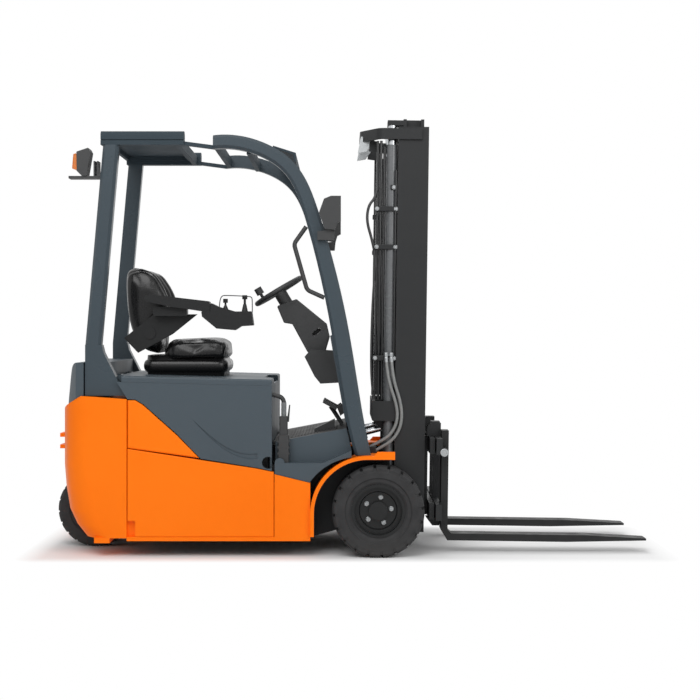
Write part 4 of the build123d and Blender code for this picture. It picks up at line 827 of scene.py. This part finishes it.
# dark plug that fills the slot of the column as painted shade: middle, turn in degrees and size in mm
columnSpindle = {"x": -312, "z": 1108, "turn": 39, "long": 50.6, "wide": 18.8, "half": 22, "steps": 8,
                 "bevel": 1.5}


def buildColumnSlotShadePlug():
    spec = columnSpindle
    bm = bmesh.new()
    turn = Matrix.Rotation(math.radians(spec["turn"]), 2)
    reach, bend = (spec["long"] - spec["wide"]) / 2, spec["wide"] / 2
    outline = []
    for side in (1, -1):
        for step in range(spec["steps"] + 1):
            angle = math.pi * (step / spec["steps"] - 0.5)
            flat = turn @ Vector((side * (reach + bend * math.cos(angle)), side * bend * math.sin(angle)))
            outline.append(fromAxle(spec["x"] + flat.x, -spec["half"], spec["z"] + flat.y))
    extruded(bm, outline, Vector((0, 2 * spec["half"] / 1000, 0)))
    mesh = plainMesh(bevelled(looseObject("spindleShape", bm), spec["bevel"]))
    # deep black foam finish: the plug stands in for the shade inside the slot
    settle("columnSpindle", mesh, "chassis", armFoam)


# plates that hang from the top tie and hold the hose guides
tiePlates = {"thick": 5, "bevel": 1.2, "plates": [
    ("Light", zincSteel, "bright_steel", -172, [(-108, 2112), (-34, 2097), (-76, 2035), (-122, 2026)]),
    ("Dark", mastCoat, "black_paint", -178, [(-60, 2092), (-14, 2088), (-14, 2030), (-66, 2036)])]}


def buildTiePlates():
    for label, finish, slot, across, outline in tiePlates["plates"]:
        bm = bmesh.new()
        for hand in (-1, 1):
            extruded(bm, [onMast(x, -hand * across, z) for x, z in outline],
                     Vector((0, hand * tiePlates["thick"] / 1000, 0)))
        mesh = plainMesh(bevelled(looseObject("plateShape", bm), tiePlates["bevel"]))
        settle("tiePlate" + label, mesh, "mast_outer", finish)


# mirror panes on the two rear faces of each housing
mirrorPanes = {"across": (479, 519), "margin": 0.1, "proud": 0.8, "bevel": 0.3,
               "faces": [((-262, 1616), (-292, 1695)), ((-292, 1695), (-267, 1764))]}


def buildMirrorPanes():
    bm = bmesh.new()
    near, far = mirrorPanes["across"]
    for hand in (-1, 1):
        for low, high in mirrorPanes["faces"]:
            a, b = Vector(low), Vector(high)
            out = Vector((-(b.y - a.y), b.x - a.x)).normalized() * mirrorPanes["proud"]
            a, b = a.lerp(b, mirrorPanes["margin"]), b.lerp(a, mirrorPanes["margin"])
            corners = [fromAxle(a.x, hand * near, a.y), fromAxle(a.x, hand * far, a.y),
                       fromAxle(b.x, hand * far, b.y), fromAxle(b.x, hand * near, b.y)]
            extruded(bm, corners, Vector((out.x / 1000, 0, out.y / 1000)))
    mesh = plainMesh(bevelled(looseObject("paneShape", bm), mirrorPanes["bevel"]))
    settle("mirrorPanes", mesh, "chassis", mirrorGlass)


# corrugated conduit round the upright run of the battery cable
cableConduit = {"x": -467, "y": -448, "from": 692, "pitch": 6.5, "count": 11, "inner": 11.2, "outer": 13.6,
                "foot": 3.2, "crest": 1.6, "sides": 20}


def buildCableConduit():
    spec = cableConduit
    bm = bmesh.new()
    foot, crest = spec["foot"], spec["crest"]
    inner, outer = spec["inner"], spec["outer"]
    turned(bm, [(inner, -foot), (outer, -crest), (outer, crest), (inner, foot)], spec["sides"])
    ring = looseObject("conduitRing", bm)
    mesh = grow("conduit", rowTree, {
        "Part": ring, "Count": spec["count"], "Start": tuple(fromAxle(spec["x"], spec["y"], spec["from"])),
        "Step": (0, 0, spec["pitch"] / 1000), "Turn": (0, 0, 0), "Finish": conduitNylon})
    settle("cableConduit", mesh, "chassis")
    bpy.data.objects.remove(ring)


# crimped ends and nuts at the top of the tilt hoses: places on the mast, sizes and heights in mm
hoseEnds = {"ferrule": 11, "long": 34, "neck": (-12, -8), "sides": 20, "flats": 22, "chamfer": 0.85,
            "nut": (-2, 12, 15), "places": [(34, -306, 990), (60, -306, 990)]}


def buildHoseEnds():
    spec = hoseEnds
    bm = bmesh.new()
    wide, foot = spec["ferrule"], -spec["long"]
    turned(bm, [(wide - 1, foot), (wide, foot + 3), (wide, spec["neck"][0]), (wide - 2, spec["neck"][1]),
                (wide - 2, 0)], spec["sides"])
    hexHead(bm, spec, *spec["nut"])
    scatter("hoseEnds", bm, [(onMast(*place), (0, 0, 1)) for place in spec["places"]], "mast_outer")


# moulded lugs on the tyre shoulders, between the gaps of the tread: (radius, depth from the face) in mm
shoulderLug = {
    "count": 20, "turn": -13.5, "halfAngle": 7.2, "steps": 6, "bevel": 1.5,
    "front": {"face": 530, "section": [(188, -4), (192, -0.8), (212, -0.8), (221, -8), (224.5, -17),
                                       (225.5, -24), (210, -24)]},
    "rear": {"face": 140, "section": [(156, -4), (160, -0.6), (180, -0.6), (188.5, -6), (192.5, -12),
                                      (193.5, -16), (178, -16)]}}


def buildShoulderLugs():
    spec = shoulderLug
    for label, kind, body, hand in wheelSides:
        section = spec[kind]["section"]
        middle = section[0][0]
        bm = bmesh.new()
        slices = []
        for step in range(spec["steps"] + 1):
            angle = math.radians(spec["halfAngle"]) * (2 * step / spec["steps"] - 1)
            across, along = math.cos(angle), math.sin(angle)
            slices.append([bm.verts.new(((r * across - middle) / 1000, r * along / 1000, z / 1000))
                           for r, z in section])
        lofted(bm, slices)
        lug = bevelled(looseObject("lugShape", bm), spec["bevel"])
        ring = {"count": spec["count"], "radius": middle, "turn": spec["turn"]}
        mesh = ringOnWheel("lugs" + label, lug, kind, hand, ring, spec[kind]["face"], tyreRubber)
        settle("shoulderLugs" + label, mesh, body)
        bpy.data.objects.remove(lug)


# zinc caps on the ends of the side-shift cylinder: place on the mast and sizes in mm
shiftCaps = {"x": 326, "y": 430.2, "z": 514, "radius": 20, "thick": 4, "chamfer": 2, "rim": 8, "sink": 1.5,
             "sides": 32}


def buildShiftCaps():
    spec = shiftCaps
    bm = bmesh.new()
    wide, top, rim = spec["radius"], spec["thick"], spec["radius"] - spec["rim"]
    turned(bm, [(wide, 0), (wide, top - spec["sink"]), (wide - spec["chamfer"], top), (rim, top),
                (rim - 1, top - spec["sink"])], spec["sides"])
    scatter("shiftCylinderCaps", bm, [(onMast(spec["x"], hand * spec["y"], spec["z"]), (0, hand, 0))
                                      for hand in (-1, 1)], "side_shift")


# seat base with a soft roll under the cushion: half sizes, corner radius, (outward, height) of folds, mm
seatBase = {"middleX": -980, "half": (198, 200), "corner": 34, "steps": 8,
            "folds": [(-4, 880), (0, 884), (0, 900), (3, 903), (11, 908), (17, 917), (20, 929), (20, 942),
                      (17, 954), (10, 963), (2, 967), (0, 990)]}


def buildSeatBase():
    spec = seatBase
    bm = bmesh.new()
    rings = []
    for out, height in spec["folds"]:
        ring = []
        bend = spec["corner"] + out
        for quarter, (signX, signY) in enumerate(((1, 1), (-1, 1), (-1, -1), (1, -1))):
            for step in range(spec["steps"] + 1):
                angle = math.pi / 2 * (quarter + step / spec["steps"])
                ring.append(bm.verts.new(fromAxle(
                    spec["middleX"] + signX * (spec["half"][0] - spec["corner"]) + bend * math.cos(angle),
                    signY * (spec["half"][1] - spec["corner"]) + bend * math.sin(angle), height)))
        rings.append(ring)
    lofted(bm, rings)
    mesh = plainMesh(looseObject("seatBaseShape", bm))
    for polygon in mesh.polygons:  # soft sides, flat end caps
        polygon.use_smooth = len(polygon.vertices) == 4
    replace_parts(settle("seatBase", mesh, "hood", seatVinyl), "seat_pan")


buildWheelNuts()
buildShoulderLugs()
buildShiftCaps()
print("wheel nuts, tyre lugs and caps done")
buildTiePlates()
buildMirrorPanes()
buildCableConduit()
buildHoseEnds()
print("small fittings done")
buildChains()
print("chains done")
buildMastPlumbing()
buildTiltHoses()
buildHoseBracket()
buildBolts()
print("mast plumbing done")
buildLeverGuard()
buildColumnSlotShadePlug()
buildPedalStems()
buildMatRibs()
buildSeatBase()
buildSeat()
print("seat and cab fittings done")

# studio: pale floor that fades to white, white world, three soft lamps
studio = {"floorHalf": 40.0, "floorColour": "#f4f4f4", "fadeTo": 0.13, "whiteShare": 1.0, "skyFill": 0.5,
          "aim": (-0.2, 0, 0.9),
          "lamps": [((-1.5, -5.0, 5.2), 4.5, 190), ((3.2, -4.2, 3.0), 3.0, 66), ((-0.5, 3.0, 5.5), 4.0, 100)]}


def buildStudio():
    mesh = bpy.data.meshes.new("studioFloor")
    h = studio["floorHalf"]
    mesh.from_pydata([(-h, -h, 0), (h, -h, 0), (h, h, 0), (-h, h, 0)], [], [(0, 1, 2, 3)])
    floor = linked("studioFloor", mesh)
    material = bpy.data.materials.new("paleStudioFloor")
    material.use_nodes = True
    tree = material.node_tree
    tree.nodes.clear()
    place = addNode(tree, "ShaderNodeTexCoord").outputs["Object"]
    middle = [(low + high) / 2 for low, high in zip(*cadBox)]
    half = [(high - low) / 2 for low, high in zip(*cadBox)]
    fromMiddle = calc(tree, "SUBTRACT", place, (*middle[:2], 0), kind="VectorMath")
    apart = calc(tree, "ABSOLUTE", fromMiddle, kind="VectorMath")
    outside = calc(tree, "SUBTRACT", apart, (*half[:2], 0), kind="VectorMath")
    beyond = calc(tree, "MAXIMUM", outside, (0, 0, 0), kind="VectorMath")
    reach = addNode(tree, "ShaderNodeVectorMath", {"operation": "LENGTH"}, {0: beyond})
    fade = addNode(tree, "ShaderNodeMapRange", {"From Max": studio["fadeTo"], "To Max": studio["whiteShare"]},
                   {"Value": reach.outputs["Value"]})
    ray = addNode(tree, "ShaderNodeLightPath")
    share = calc(tree, "MULTIPLY", fade.outputs[0], ray.outputs["Is Camera Ray"])
    matt = addNode(tree, "ShaderNodeBsdfDiffuse", {"Color": hexToLinear(studio["floorColour"])})
    white = addNode(tree, "ShaderNodeEmission", {"Color": (1, 1, 1, 1), "Strength": 1.0})
    mixed = addNode(tree, "ShaderNodeMixShader", {}, {0: share, 1: matt.outputs[0], 2: white.outputs[0]})
    addNode(tree, "ShaderNodeOutputMaterial", {}, {"Surface": mixed.outputs[0]})
    mesh.materials.append(material)

    world = bpy.data.worlds.new("whiteStudio")
    bpy.context.scene.world = world
    world.use_nodes = True
    tree = world.node_tree
    tree.nodes.clear()
    ray = addNode(tree, "ShaderNodeLightPath")
    seen = calc(tree, "MAXIMUM", ray.outputs["Is Camera Ray"], ray.outputs["Is Transmission Ray"])
    glossy = calc(tree, "MAXIMUM", seen, ray.outputs["Is Glossy Ray"])
    strength = addNode(tree, "ShaderNodeMapRange", {"To Min": studio["skyFill"], "To Max": 1.0},
                       {"Value": glossy})
    sky = addNode(tree, "ShaderNodeBackground", {"Color": (1, 1, 1, 1)}, {"Strength": strength.outputs[0]})
    addNode(tree, "ShaderNodeOutputWorld", {}, {"Surface": sky.outputs[0]})

    for i, (spot, size, power) in enumerate(studio["lamps"]):
        light = bpy.data.lights.new(f"softLamp{i}", "AREA")
        light.shape = "DISK"
        light.size = size
        light.energy = power
        lamp = linked(light.name, light)
        lamp.location = spot
        lamp.rotation_euler = (Vector(studio["aim"]) - Vector(spot)).to_track_quat("-Z", "Y").to_euler()


# camera: straight side view, as in the photograph
view = {"behindAxle": 0.1886, "distance": 7.7, "height": 1.129, "lens": 75.24, "sensor": 36,
        "shift": (0.0143, -0.0314)}


def placeCamera():
    data = bpy.data.cameras.new("sideCamera")
    data.lens = view["lens"]
    data.sensor_width = view["sensor"]
    data.shift_x, data.shift_y = view["shift"]
    camera = linked("sideCamera", data)
    camera.location = (axleX - view["behindAxle"], -view["distance"], view["height"])
    camera.rotation_euler = (math.radians(90), 0, 0)
    bpy.context.scene.camera = camera


buildStudio()
placeCamera()
bpy.context.scene.view_settings.view_transform = "Standard"
print("studio and camera set")
